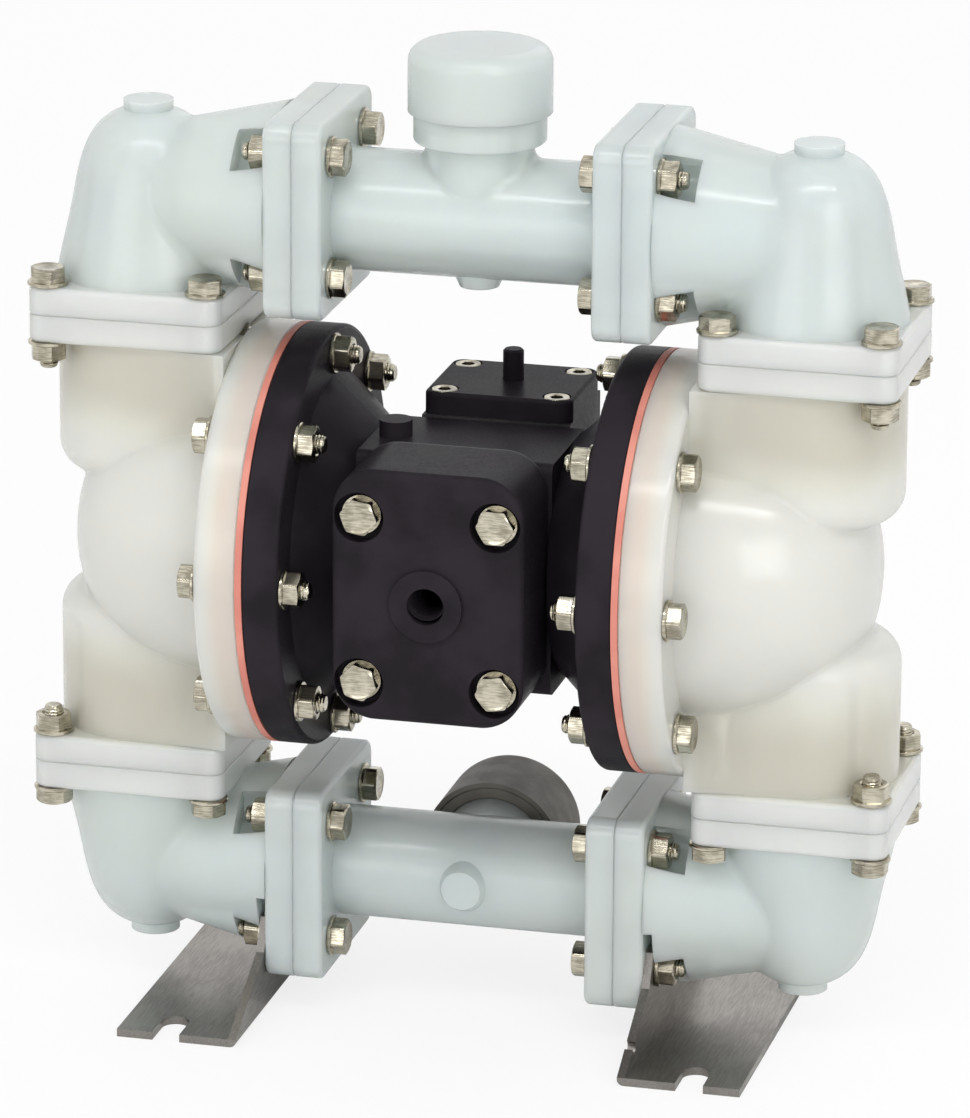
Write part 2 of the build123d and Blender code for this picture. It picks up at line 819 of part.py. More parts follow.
# Wetted side
save(outer_chamber(), "right_outer_chamber")
save(mirrored(outer_chamber()), "left_outer_chamber")
for name, level in (("upper", 1), ("lower", -1)):
    save(elbow(level), f"right_{name}_elbow")
    save(mirrored(elbow(level)), f"left_{name}_elbow")

discharge_plane = Plane(
    origin=(0, 0, axis_z + pipe_rise), x_dir=(1, 0, 0), z_dir=(0, 0, 1)
)
suction_plane = Plane(origin=(0, 0, foot_drop), x_dir=(1, 0, 0), z_dir=(0, 1, 0))
save(manifold(discharge_plane, discharge_pipe_r), "discharge_manifold")
save(manifold(suction_plane, pipe_r), "suction_manifold")
save(thread_cap(discharge_plane, 0.0), "discharge_cap")
save(thread_cap(suction_plane, suction_skirt), "suction_cap")

# Check valves
for name, rise in (("discharge", joint_rise), ("suction", -joint_rise)):
    save(check_ball(rise), f"right_{name}_ball")
    save(mirrored(check_ball(rise)), f"left_{name}_ball")
    save(valve_seat(rise), f"right_{name}_seat")
    save(mirrored(valve_seat(rise)), f"left_{name}_seat")

with BuildPart() as seat_seals:
    for rise in (joint_rise, -joint_rise):
        with BuildSketch(across_duct(rise)):
            Circle(seat_r - fit_gap)
            Circle(duct_bore_r, mode=Mode.SUBTRACT)
        extrude(amount=-seal_t)
    mirror(about=Plane.YZ)
save(seat_seals.part, "seat_seals")

with BuildPart() as manifold_seals:
    for rise in (pipe_rise, -pipe_rise):
        with BuildSketch(across_rod(pipe_joint_x, -1, rise)):
            Circle(pipe_bore_r + seal_in + seal_w - fit_gap)
            Circle(pipe_bore_r + seal_in + fit_gap, mode=Mode.SUBTRACT)
        extrude(amount=seal_t)
    mirror(about=Plane.YZ)
save(manifold_seals.part, "manifold_seals")

# Diaphragms, plates and rod
save(diaphragm(), "right_diaphragm")
save(mirrored(diaphragm()), "left_diaphragm")
save(inner_plate(), "right_inner_plate")
save(mirrored(inner_plate()), "left_inner_plate")
save(outer_plate(), "right_outer_plate")
save(mirrored(outer_plate()), "left_outer_plate")

with BuildPart() as diaphragm_rod:
    with BuildSketch(across_rod(-rod_end)):
        Circle(rod_r)
    extrude(amount=2 * rod_end)
save(diaphragm_rod.part, "diaphragm_rod")

# Air side
save(inner_chamber(), "right_inner_chamber")
save(mirrored(inner_chamber()), "left_inner_chamber")

with BuildPart() as center_housing:
    with BuildSketch(Plane.XY.offset(axis_z + housing_bottom)):
        with Locations((0, (housing_front + housing_back) / 2)):
            Rectangle(2 * dish_floor_x, housing_back - housing_front)
    extrude(amount=housing_top - housing_bottom)
    fillet(center_housing.edges().filter_by(Axis.X), housing_edge)
    with BuildSketch(Plane.XY.offset(axis_z + housing_top)):
        with Locations((bump_x, bump_y)):
            Circle(bump_r)
    extrude(amount=bump_h)
    with BuildSketch(across_rod(-dish_floor_x)):
        Circle(bushing_r)
        with Locations((0, pilot_rise)):
            Circle(pilot_sleeve_r)
    extrude(amount=2 * dish_floor_x, mode=Mode.SUBTRACT)
    # Blind thread holes for the cover bolts and the valve's mounting screws
    with BuildSketch(facing_front(housing_front)):
        with Locations(*cover_spots):
            Circle(shank_r + fit_gap)
    extrude(amount=-cover_bolt_bite, mode=Mode.SUBTRACT)
    with BuildSketch(facing_front(housing_back)):
        with Locations(*mount_spots):
            Circle(screw_r + fit_gap)
    extrude(amount=mount_screw_bite, mode=Mode.SUBTRACT)
    # Air ways: one feed from the cover to the valve, one to each air chamber
    with BuildSketch(facing_front(housing_back)):
        with Locations((0, feed_way_z)):
            Circle(feed_way_r)
    extrude(amount=housing_back - housing_front, mode=Mode.SUBTRACT)
    with BuildSketch(facing_front(housing_back)):
        with Locations((air_way_x, air_way_z), (-air_way_x, air_way_z)):
            Circle(air_way_r)
    extrude(amount=housing_back, mode=Mode.SUBTRACT)
    for side in (1, -1):
        with BuildSketch(across_rod(side * dish_floor_x, -side)):
            with Locations((0, -side * air_way_z)):
                Circle(air_way_r)
        extrude(amount=dish_floor_x - air_way_x, mode=Mode.SUBTRACT)
save(center_housing.part, "center_housing")

right_bushing = ring_piece(across_rod(bushing_x), bushing_r, rod_r + fit_gap, bushing_len)
save(right_bushing, "right_rod_bushing")
save(mirrored(right_bushing), "left_rod_bushing")
right_seal = ring_piece(across_rod(dish_floor_x, -1), bushing_r, rod_r + fit_gap, seal_len)
save(right_seal, "right_rod_seal")
save(mirrored(right_seal), "left_rod_seal")

with BuildPart() as pilot_sleeve:
    with BuildSketch(across_rod(-dish_floor_x, 1, pilot_rise)):
        Circle(pilot_sleeve_r)
        Circle(pilot_r + fit_gap, mode=Mode.SUBTRACT)
    extrude(amount=2 * dish_floor_x)
save(pilot_sleeve.part, "pilot_sleeve")

with BuildPart() as pilot_spool:
    with BuildSketch(across_rod(-pilot_end, 1, pilot_rise)):
        Circle(pilot_r)
    extrude(amount=2 * pilot_end)
    for start in (-pilot_groove_x - pilot_groove, pilot_groove_x):
        with BuildSketch(across_rod(start, 1, pilot_rise)):
            Circle(pilot_r + fit_gap)
            Circle(pilot_neck_r, mode=Mode.SUBTRACT)
        extrude(amount=pilot_groove, mode=Mode.SUBTRACT)
save(pilot_spool.part, "pilot_spool")

# Inlet cover
with BuildPart() as inlet_cover:
    with BuildSketch(facing_front(cover_back, cover_mid)):
        RectangleRounded(2 * cover_half_w, cover_top - cover_bottom, cover_corner)
    extrude(amount=cover_back - cover_face)
    fillet(inlet_cover.faces().sort_by(Axis.Y)[0].edges(), cover_edge)
    with BuildSketch(facing_front(cover_face)):
        Circle(inlet_boss_r)
    extrude(amount=inlet_boss_h)
    with BuildSketch(facing_front(cover_back)):
        Rectangle(plenum_w, plenum_h)
    extrude(amount=plenum_depth, mode=Mode.SUBTRACT)
    with BuildSketch(facing_front(cover_face - inlet_boss_h)):
        Circle(inlet_r)
    extrude(amount=-inlet_len, mode=Mode.SUBTRACT)
    with BuildSketch(facing_front(cover_face)):
        Circle(inlet_way_r)
    extrude(amount=cover_face - cover_back + plenum_depth, mode=Mode.SUBTRACT)
    with BuildSketch(facing_front(cover_face)):
        with Locations(*cover_spots):
            Circle(cover_pocket_r)
    extrude(amount=-cover_pocket_depth, mode=Mode.SUBTRACT)
    with BuildSketch(facing_front(cover_face)):
        with Locations(*cover_spots):
            Circle(bolt_hole_r)
    extrude(amount=cover_face - cover_back, mode=Mode.SUBTRACT)
save(inlet_cover.part, "inlet_cover")

with BuildPart() as cover_gasket:
    with BuildSketch(facing_front(housing_front)):
        with Locations((0, cover_mid)):
            RectangleRounded(2 * cover_half_w, cover_top - cover_bottom, cover_corner)
        Rectangle(plenum_w, plenum_h, mode=Mode.SUBTRACT)
        with Locations(*cover_spots):
            Circle(bolt_hole_r, mode=Mode.SUBTRACT)
    extrude(amount=gasket_t)
save(cover_gasket.part, "cover_gasket")

cover_seat = facing_front(cover_face + cover_pocket_depth)
cover_grip = housing_front + cover_bolt_bite - cover_face - cover_pocket_depth
save(bolt_set([(cover_seat, cover_spots, cover_grip - fit_gap)]), "cover_bolts")

# Main air valve
with BuildPart() as valve_body:
    with BuildSketch(Plane.XY.offset(axis_z - valve_half_h)):
        with Locations((valve_x, valve_mid)):
            Rectangle(2 * valve_half_w, valve_back - valve_front)
        with Locations((valve_x, valve_y)):
            Circle(sleeve_r, mode=Mode.SUBTRACT)
        with Locations(*[(valve_x + u, valve_mid + v) for u, v in cap_spots]):
            Circle(screw_r + fit_gap, mode=Mode.SUBTRACT)
    extrude(amount=2 * valve_half_h)
    with BuildSketch(facing_front(valve_back)):
        with Locations(*mount_spots):
            Circle(screw_head_r + pin_gap)
    extrude(amount=screw_head_h, mode=Mode.SUBTRACT)
    with BuildSketch(facing_front(valve_back)):
        with Locations(*mount_spots):
            Circle(screw_r + pin_gap)
    extrude(amount=valve_back - valve_front, mode=Mode.SUBTRACT)
    with BuildSketch(facing_front(valve_back)):
        with Locations((valve_x, 0)):
            Circle(muffler_nipple_r + fit_gap)
    extrude(amount=valve_back - valve_y, mode=Mode.SUBTRACT)
    with BuildSketch(facing_front(valve_y)):
        with Locations((0, feed_way_z)):
            Circle(feed_way_r)
        with Locations((air_way_x, air_way_z), (-air_way_x, air_way_z)):
            Circle(air_way_r)
    extrude(amount=valve_y - valve_front, mode=Mode.SUBTRACT)
save(valve_body.part, "valve_body")

with BuildPart() as valve_gasket:
    with BuildSketch(facing_front(valve_front)):
        with Locations((valve_x, 0)):
            Rectangle(2 * valve_half_w, 2 * valve_half_h)
        with Locations(*mount_spots):
            Circle(screw_r + pin_gap, mode=Mode.SUBTRACT)
        with Locations((0, feed_way_z)):
            Circle(feed_way_r, mode=Mode.SUBTRACT)
        with Locations((air_way_x, air_way_z), (-air_way_x, air_way_z)):
            Circle(air_way_r, mode=Mode.SUBTRACT)
    extrude(amount=gasket_t)
save(valve_gasket.part, "valve_gasket")


def valve_cap(facing, pin_hole):
    """End cap of the valve, at the top for facing 1"""
    plane = Plane(
        origin=(valve_x, valve_mid, axis_z + facing * valve_half_h),
        x_dir=(1, 0, 0),
        z_dir=(0, 0, facing),
    )
    with BuildPart() as cap:
        with BuildSketch(plane):
            RectangleRounded(2 * valve_half_w, valve_back - valve_front, valve_cap_corner)
        extrude(amount=valve_cap_t)
        outer = cap.faces().sort_by(Axis.Z)[-1 if facing > 0 else 0]
        fillet(outer.edges(), valve_cap_edge)
        with BuildSketch(plane):
            with Locations(*cap_spots):
                Circle(screw_r + pin_gap)
            if pin_hole:
                with Locations((0, valve_y - valve_mid)):
                    Circle(pin_r + pin_gap)
        extrude(amount=valve_cap_t, mode=Mode.SUBTRACT)
        with BuildSketch(plane.offset(valve_cap_t)):
            with Locations(*cap_spots):
                Circle(screw_head_r + pin_gap)
        extrude(amount=-screw_head_h, mode=Mode.SUBTRACT)
    return cap.part


save(valve_cap(1, True), "valve_top_cap")
save(valve_cap(-1, False), "valve_bottom_cap")

with BuildPart() as valve_sleeve:
    with BuildSketch(Plane(origin=(valve_x, valve_y, axis_z - valve_half_h))):
        Circle(sleeve_r)
        Circle(spool_r + fit_gap, mode=Mode.SUBTRACT)
    extrude(amount=2 * valve_half_h)
    for rise in (-port_window_rise, 0, port_window_rise):
        for turn in range(port_window_pairs):
            heading = radians(180 / port_window_pairs * turn)
            window = Plane(
                origin=(valve_x, valve_y, axis_z + rise),
                x_dir=(0, 0, 1),
                z_dir=(cos(heading), sin(heading), 0),
            )
            with BuildSketch(window):
                Circle(port_window_r)
            extrude(amount=sleeve_r, both=True, mode=Mode.SUBTRACT)
save(valve_sleeve.part, "valve_sleeve")

spool_plane = Plane(origin=(valve_x, valve_y, axis_z + spool_low))
with BuildPart() as main_spool:
    with BuildSketch(spool_plane):
        Circle(spool_r)
    extrude(amount=spool_len)
    for start in (spool_land, spool_len - spool_land - spool_groove):
        with BuildSketch(spool_plane.offset(start)):
            Circle(spool_r + fit_gap)
            Circle(spool_neck_r, mode=Mode.SUBTRACT)
        extrude(amount=spool_groove, mode=Mode.SUBTRACT)
    with BuildSketch(spool_plane.offset(spool_len)):
        Circle(pin_r)
    extrude(amount=-pin_bite, mode=Mode.SUBTRACT)
save(main_spool.part, "main_spool")

with BuildPart() as indicator_pin:
    with BuildSketch(spool_plane.offset(spool_len - pin_bite)):
        Circle(pin_r)
    extrude(amount=valve_top + pin_stand - spool_low - spool_len + pin_bite)
    chamfer(indicator_pin.faces().sort_by(Axis.Z)[-1].edges(), pin_edge)
save(indicator_pin.part, "indicator_pin")


def cap_screws(seats):
    """Round-head socket screws for a list of (seat plane, spots, grip)"""
    with BuildPart() as screws:
        for seat, spots, grip in seats:
            with BuildSketch(seat):
                with Locations(*spots):
                    Circle(screw_head_r)
            extrude(amount=screw_head_h)
            with BuildSketch(seat.offset(screw_head_h)):
                with Locations(*spots):
                    RegularPolygon(socket_r, 6)
            extrude(amount=-socket_depth, mode=Mode.SUBTRACT)
            with BuildSketch(seat):
                with Locations(*spots):
                    Circle(screw_r)
            extrude(amount=-grip)
    return screws.part


top_seat = Plane(origin=(valve_x, valve_mid, axis_z + valve_top - screw_head_h))
bottom_seat = Plane(
    origin=(valve_x, valve_mid, axis_z - valve_top + screw_head_h),
    x_dir=(1, 0, 0),
    z_dir=(0, 0, -1),
)
cap_grip = valve_cap_t - screw_head_h + screw_bite
save(cap_screws([(seat, cap_spots, cap_grip) for seat in (top_seat, bottom_seat)]), "valve_cap_screws")
mount_seat = Plane(
    origin=(0, valve_back - screw_head_h, axis_z), x_dir=(-1, 0, 0), z_dir=(0, 1, 0)
)
mount_grip = valve_back - screw_head_h - housing_back + mount_screw_bite - fit_gap
save(cap_screws([(mount_seat, [(-u, v) for u, v in mount_spots], mount_grip)]), "valve_mount_screws")

with BuildPart() as exhaust_muffler:
    with BuildSketch(facing_front(valve_back)):
        with Locations((valve_x, 0)):
            Circle(muffler_nipple_r)
    extrude(amount=muffler_nipple_len)
    with BuildSketch(facing_front(valve_back)):
        with Locations((valve_x, 0)):
            Circle(muffler_r)
    extrude(amount=valve_back - half_depth)
    chamfer(exhaust_muffler.faces().sort_by(Axis.Y)[-1].edges(), muffler_edge)
    with BuildSketch(facing_front(half_depth - muffler_edge - muffler_lip)):
        with Locations((valve_x, 0)):
            with PolarLocations(muffler_r, muffler_slots):
                Rectangle(2 * muffler_slot, muffler_slot)
    extrude(amount=half_depth - valve_back - muffler_edge - 2 * muffler_lip, mode=Mode.SUBTRACT)
save(exhaust_muffler.part, "exhaust_muffler")

# Feet
bolt_height = foot_drop - pipe_bolt_half
ear_top = bolt_height + foot_ear_r
with BuildPart() as right_foot:
    with BuildSketch(Plane(origin=(elbow_flange_x, 0, 0), x_dir=(0, 1, 0), z_dir=(1, 0, 0))):
        Polygon(
            (-foot_len / 2, 0),
            (-foot_len / 2, foot_t),
            (-foot_shoulder, bolt_height - foot_ear_r / 2),
            (-pipe_bolt_half - foot_ear_r, ear_top),
            (pipe_bolt_half + foot_ear_r, ear_top),
            (foot_shoulder, bolt_height - foot_ear_r / 2),
            (foot_len / 2, foot_t),
            (foot_len / 2, 0),
            align=None,
        )
        with Locations((0, foot_drop)):
            Circle(foot_neck_r + slot_gap, mode=Mode.SUBTRACT)
        with Locations((-pipe_bolt_half, bolt_height), (pipe_bolt_half, bolt_height)):
            Circle(bolt_hole_r, mode=Mode.SUBTRACT)
        with Locations((-foot_len / 2 + tab_hole_in, foot_t + tab_hole_rise)):
            Circle(tab_hole_r, mode=Mode.SUBTRACT)
    extrude(amount=foot_t)
    with BuildSketch():
        with Locations((elbow_flange_x, 0)):
            Rectangle(foot_base_w, foot_len, align=(Align.MIN, Align.CENTER))
        for end in (-1, 1):
            mouth = end * (foot_len / 2 - notch_depth + notch_w / 2)
            with Locations((elbow_flange_x + notch_out, mouth)):
                Circle(notch_w / 2, mode=Mode.SUBTRACT)
            with Locations((elbow_flange_x + notch_out, mouth + end * notch_depth)):
                Rectangle(notch_w, 2 * notch_depth, mode=Mode.SUBTRACT)
    extrude(amount=foot_t)
    fillet(right_foot.edges().sort_by_distance((elbow_flange_x, 0, 0))[0], foot_bend)
save(right_foot.part, "right_foot")
save(right_foot.part.rotate(Axis.Z, 180), "left_foot")

# Fasteners of the clamp rings and flanges
ring_grip = ring_out_x - inner_ring_x + nut_h + thread_end
ring_bolts = bolt_set([(across_rod(ring_out_x), chamber_spots, ring_grip)])
ring_nuts = nut_set([(across_rod(inner_ring_x, -1), chamber_spots)])
outer_grip = 2 * flange_t + nut_h + thread_end
inner_grip = 2 * flange_t + duct_bolt_bite - fit_gap
duct_stacks = []
for level in (1, -1):
    duct_seat = across_duct(level * elbow_flange_rise, level)
    duct_stacks.append((duct_seat, outer_spots, outer_grip))
    duct_stacks.append((duct_seat, inner_spots, inner_grip))
duct_bolts = bolt_set(duct_stacks)
duct_nuts = nut_set([(across_duct(level * flange_rise, -level), outer_spots) for level in (1, -1)])

upper_row = [(u, v) for u, v in pipe_spots if v > 0]
lower_row = [(u, v) for u, v in pipe_spots if v < 0]
head_plane = across_rod(pipe_flange_x, -1, -pipe_rise)
nut_plane = across_rod(elbow_flange_x, 1, -pipe_rise)
pipe_grip = 2 * pipe_flange_t + nut_h + thread_end
# The planes under the heads face inboard, so their rows read upside down
pipe_bolts = bolt_set([
    (across_rod(pipe_flange_x, -1, pipe_rise), pipe_spots, pipe_grip),
    (head_plane, lower_row, pipe_grip),
    (head_plane, upper_row, pipe_grip + foot_t),
])
pipe_nuts = nut_set([
    (across_rod(elbow_flange_x, 1, pipe_rise), pipe_spots),
    (nut_plane, upper_row),
    (nut_plane.offset(foot_t), lower_row),
])
for name, right_half in (
    ("chamber_bolts", ring_bolts),
    ("chamber_nuts", ring_nuts),
    ("elbow_bolts", duct_bolts),
    ("elbow_nuts", duct_nuts),
    ("manifold_bolts", pipe_bolts),
    ("manifold_nuts", pipe_nuts),
):
    with BuildPart() as fasteners:
        add(right_half)
        add(mirrored(right_half))
    save(fasteners.part, name)
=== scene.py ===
"""Looks of an air operated double diaphragm pump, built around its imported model.

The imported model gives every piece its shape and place. This script adds the finishes, the hexagon
hardware with its threads, the threads of the ports, the camera and the studio. Lengths are in metres,
in the model's own frame: +X along the diaphragm rod, +Y to the rear and +Z up.
"""
import json
import logging
import math
import random
from collections.abc import Callable, Sequence
from dataclasses import dataclass, field
from enum import Enum
from functools import partial

import bmesh
import bpy
from mathutils import Matrix, Vector

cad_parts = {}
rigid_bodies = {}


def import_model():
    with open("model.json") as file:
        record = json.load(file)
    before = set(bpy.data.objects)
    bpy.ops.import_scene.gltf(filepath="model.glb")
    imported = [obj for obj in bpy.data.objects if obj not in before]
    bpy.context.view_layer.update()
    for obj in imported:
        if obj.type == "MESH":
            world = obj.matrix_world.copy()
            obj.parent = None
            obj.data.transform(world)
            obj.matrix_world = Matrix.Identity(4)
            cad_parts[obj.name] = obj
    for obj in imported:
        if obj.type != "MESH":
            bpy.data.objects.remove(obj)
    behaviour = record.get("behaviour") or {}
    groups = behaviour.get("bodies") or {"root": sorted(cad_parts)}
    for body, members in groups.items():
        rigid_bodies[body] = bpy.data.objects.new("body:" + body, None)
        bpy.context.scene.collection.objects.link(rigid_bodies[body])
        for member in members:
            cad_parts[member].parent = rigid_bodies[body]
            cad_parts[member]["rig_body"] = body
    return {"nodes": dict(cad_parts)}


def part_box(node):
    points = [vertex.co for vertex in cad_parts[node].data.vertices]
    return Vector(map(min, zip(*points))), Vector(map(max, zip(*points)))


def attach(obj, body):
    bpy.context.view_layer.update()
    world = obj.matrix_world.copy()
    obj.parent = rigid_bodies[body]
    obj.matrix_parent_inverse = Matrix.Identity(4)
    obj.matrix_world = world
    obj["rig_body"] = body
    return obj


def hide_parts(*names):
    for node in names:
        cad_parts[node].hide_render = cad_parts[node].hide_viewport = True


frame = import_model()
log = logging.getLogger("pump")

Colour = tuple[float, float, float]
Pair = tuple[float, float]
Triple = tuple[float, float, float]
Socket = bpy.types.NodeSocket
Reach = float | Callable[[float], float]
Rows = list[tuple[Reach, Reach]]

MILLIMETRES = 1000.0
SMOOTH_ANGLE = math.radians(32)
WELD = 1e-6
SORT_DIGITS = 5
RIM_SHARE = 0.95

ORIGIN = Vector((0.0, 0.0, 0.0))
UP = Vector((0.0, 0.0, 1.0))
REAR = Vector((0.0, 1.0, 0.0))
FRONT = Vector((0.0, -1.0, 0.0))
ALONG_ROD = Vector((1.0, 0.0, 0.0))
ACROSS_ROD = Vector((0.0, 1.0, 1.0))

SCREEN_STEPS = 255
SCREEN_OFFSET = 0.055
SCREEN_POWER = 2.4
MIX_SHARE, MIX_FIRST, MIX_SECOND, MIX_COLOUR = 0, 6, 7, 2


def from_screen(red: int, green: int, blue: int) -> Colour:
    """Turn a screen colour into a linear one.

    Args:
        red: its red part, in steps from 11 to 255, where the screen's curve is a plain power.
        green: its green part.
        blue: its blue part.

    Returns:
        The linear colour.
    """
    parts = (part / SCREEN_STEPS for part in (red, green, blue))
    return tuple(((part + SCREEN_OFFSET) / (1 + SCREEN_OFFSET)) ** SCREEN_POWER for part in parts)


class Graph:
    """One material's node tree, grown from its surface shader."""

    def __init__(self, name: str) -> None:
        """Start a material with a surface shader.

        Args:
            name: the material's name.
        """
        self.material = bpy.data.materials.new(name)
        self.material.use_nodes = True
        self.tree = self.material.node_tree
        self.shader = self.tree.nodes["Principled BSDF"]
        self.place = self.tree.nodes.new("ShaderNodeTexCoord").outputs["Object"]

    def node(self, kind: str, inputs: dict[int | str, object], **options: object) -> bpy.types.Node:
        """Add a node.

        Args:
            kind: the node's type, without the leading ShaderNode.
            inputs: values or sockets for its inputs.
            options: its other properties.

        Returns:
            The new node.
        """
        made = self.tree.nodes.new(f"ShaderNode{kind}")
        for name, value in options.items():
            setattr(made, name, value)
        for key, value in inputs.items():
            if isinstance(value, bpy.types.NodeSocket):
                self.tree.links.new(value, made.inputs[key])
            elif isinstance(value, tuple) and made.inputs[key].type == "RGBA":
                made.inputs[key].default_value = (*value, 1.0)
            else:
                made.inputs[key].default_value = value
        return made

    def noise(self, size: float, detail: float = 2.0, stretch: Vector | None = None) -> Socket:
        """Noise whose blotches are about one size.

        Args:
            size: width of a blotch.
            detail: how many finer layers it has.
            stretch: scale of the place along each axis, for streaks.

        Returns:
            The noise from 0 to 1.
        """
        place = self.place
        if stretch is not None:
            place = self.node("VectorMath", {0: place, 1: stretch}, operation="MULTIPLY").outputs[0]
        inputs = {"Vector": place, "Scale": 1 / size, "Detail": detail}
        return self.node("TexNoise", inputs).outputs["Fac"]

    def spread(self, value: Socket, low: float, high: float, to: Pair = (0.0, 1.0)) -> Socket:
        """Stretch a range of a value to another, held at both ends.

        Args:
            value: what is stretched.
            low: the value that becomes the first end.
            high: the value that becomes the second end.
            to: the two ends.

        Returns:
            The stretched value.
        """
        inputs = {"Value": value, "From Min": low, "From Max": high, "To Min": to[0], "To Max": to[1]}
        return self.node("MapRange", inputs, interpolation_type="SMOOTHSTEP").outputs[0]

    def mix(self, share: Socket, first: Colour | Socket, second: Colour | Socket) -> Socket:
        """Mix two colours by a share of the second."""
        inputs = {MIX_SHARE: share, MIX_FIRST: first, MIX_SECOND: second}
        return self.node("Mix", inputs, data_type="RGBA").outputs[MIX_COLOUR]

    def maths(self, operation: str, first: Socket, second: Socket | float) -> Socket:
        """Work out one value from two."""
        return self.node("Math", {0: first, 1: second}, operation=operation).outputs[0]

    def away_from(self, point: Vector, along: Vector) -> Socket:
        """Distance from a point, measured only along the axes that are given.

        Args:
            point: where the distance is nothing.
            along: 1 for each axis that counts, and 0 for the others.

        Returns:
            The distance.
        """
        offset = self.node("VectorMath", {0: self.place, 1: point}, operation="SUBTRACT").outputs[0]
        kept = self.node("VectorMath", {0: offset, 1: along}, operation="MULTIPLY").outputs[0]
        return self.node("VectorMath", {0: kept}, operation="LENGTH").outputs["Value"]

    def relief(self, height: Socket, distance: float, strength: float = 1.0) -> None:
        """Give the surface a fine relief.

        Args:
            height: the height, from 0 to 1.
            distance: how far the full height stands out.
            strength: share of the relief that shows.
        """
        bump = self.node("Bump", {"Height": height, "Distance": distance, "Strength": strength})
        self.tree.links.new(bump.outputs[0], self.shader.inputs["Normal"])

    def finish(self, colour: Socket, roughness: Socket, fixed: dict[str, object]) -> bpy.types.Material:
        """Link the shader's main inputs and set its constant ones.

        Args:
            colour: the surface colour.
            roughness: the surface roughness.
            fixed: constant values by the name of the shader's socket.

        Returns:
            The finished material.
        """
        self.tree.links.new(colour, self.shader.inputs["Base Color"])
        self.tree.links.new(roughness, self.shader.inputs["Roughness"])
        for name, value in fixed.items():
            self.shader.inputs[name].default_value = value
        return self.material


@dataclass(frozen=True)
class Finish:
    """A mottled surface: two colours, a range of roughness and a fine grain.

    The patches and the grain are noise. The second colour takes over where the noise rises through blend,
    and the roughness goes from one end of its range to the other where it rises through rough_blend.
    """

    name: str
    colour: Colour
    second: Colour
    patch: float
    roughness: Pair
    grain: float
    relief: float
    metallic: float = 0.0
    specular: float = 0.5
    patch_detail: float = 4.0
    grain_detail: float = 3.0
    blend: Pair = (0.35, 0.65)
    rough_blend: Pair = (0.7, 1.3)

    def material(self) -> bpy.types.Material:
        """Build the finish's material.

        Returns:
            The material.
        """
        graph = Graph(self.name)
        patches = graph.noise(self.patch, self.patch_detail)
        colour = graph.mix(graph.spread(patches, *self.blend), self.colour, self.second)
        grain = graph.noise(self.grain, self.grain_detail)
        roughness = graph.spread(graph.maths("ADD", grain, patches), *self.rough_blend, self.roughness)
        graph.relief(grain, self.relief)
        fixed = {"Metallic": self.metallic, "Specular IOR Level": self.specular}
        return graph.finish(colour, roughness, fixed)


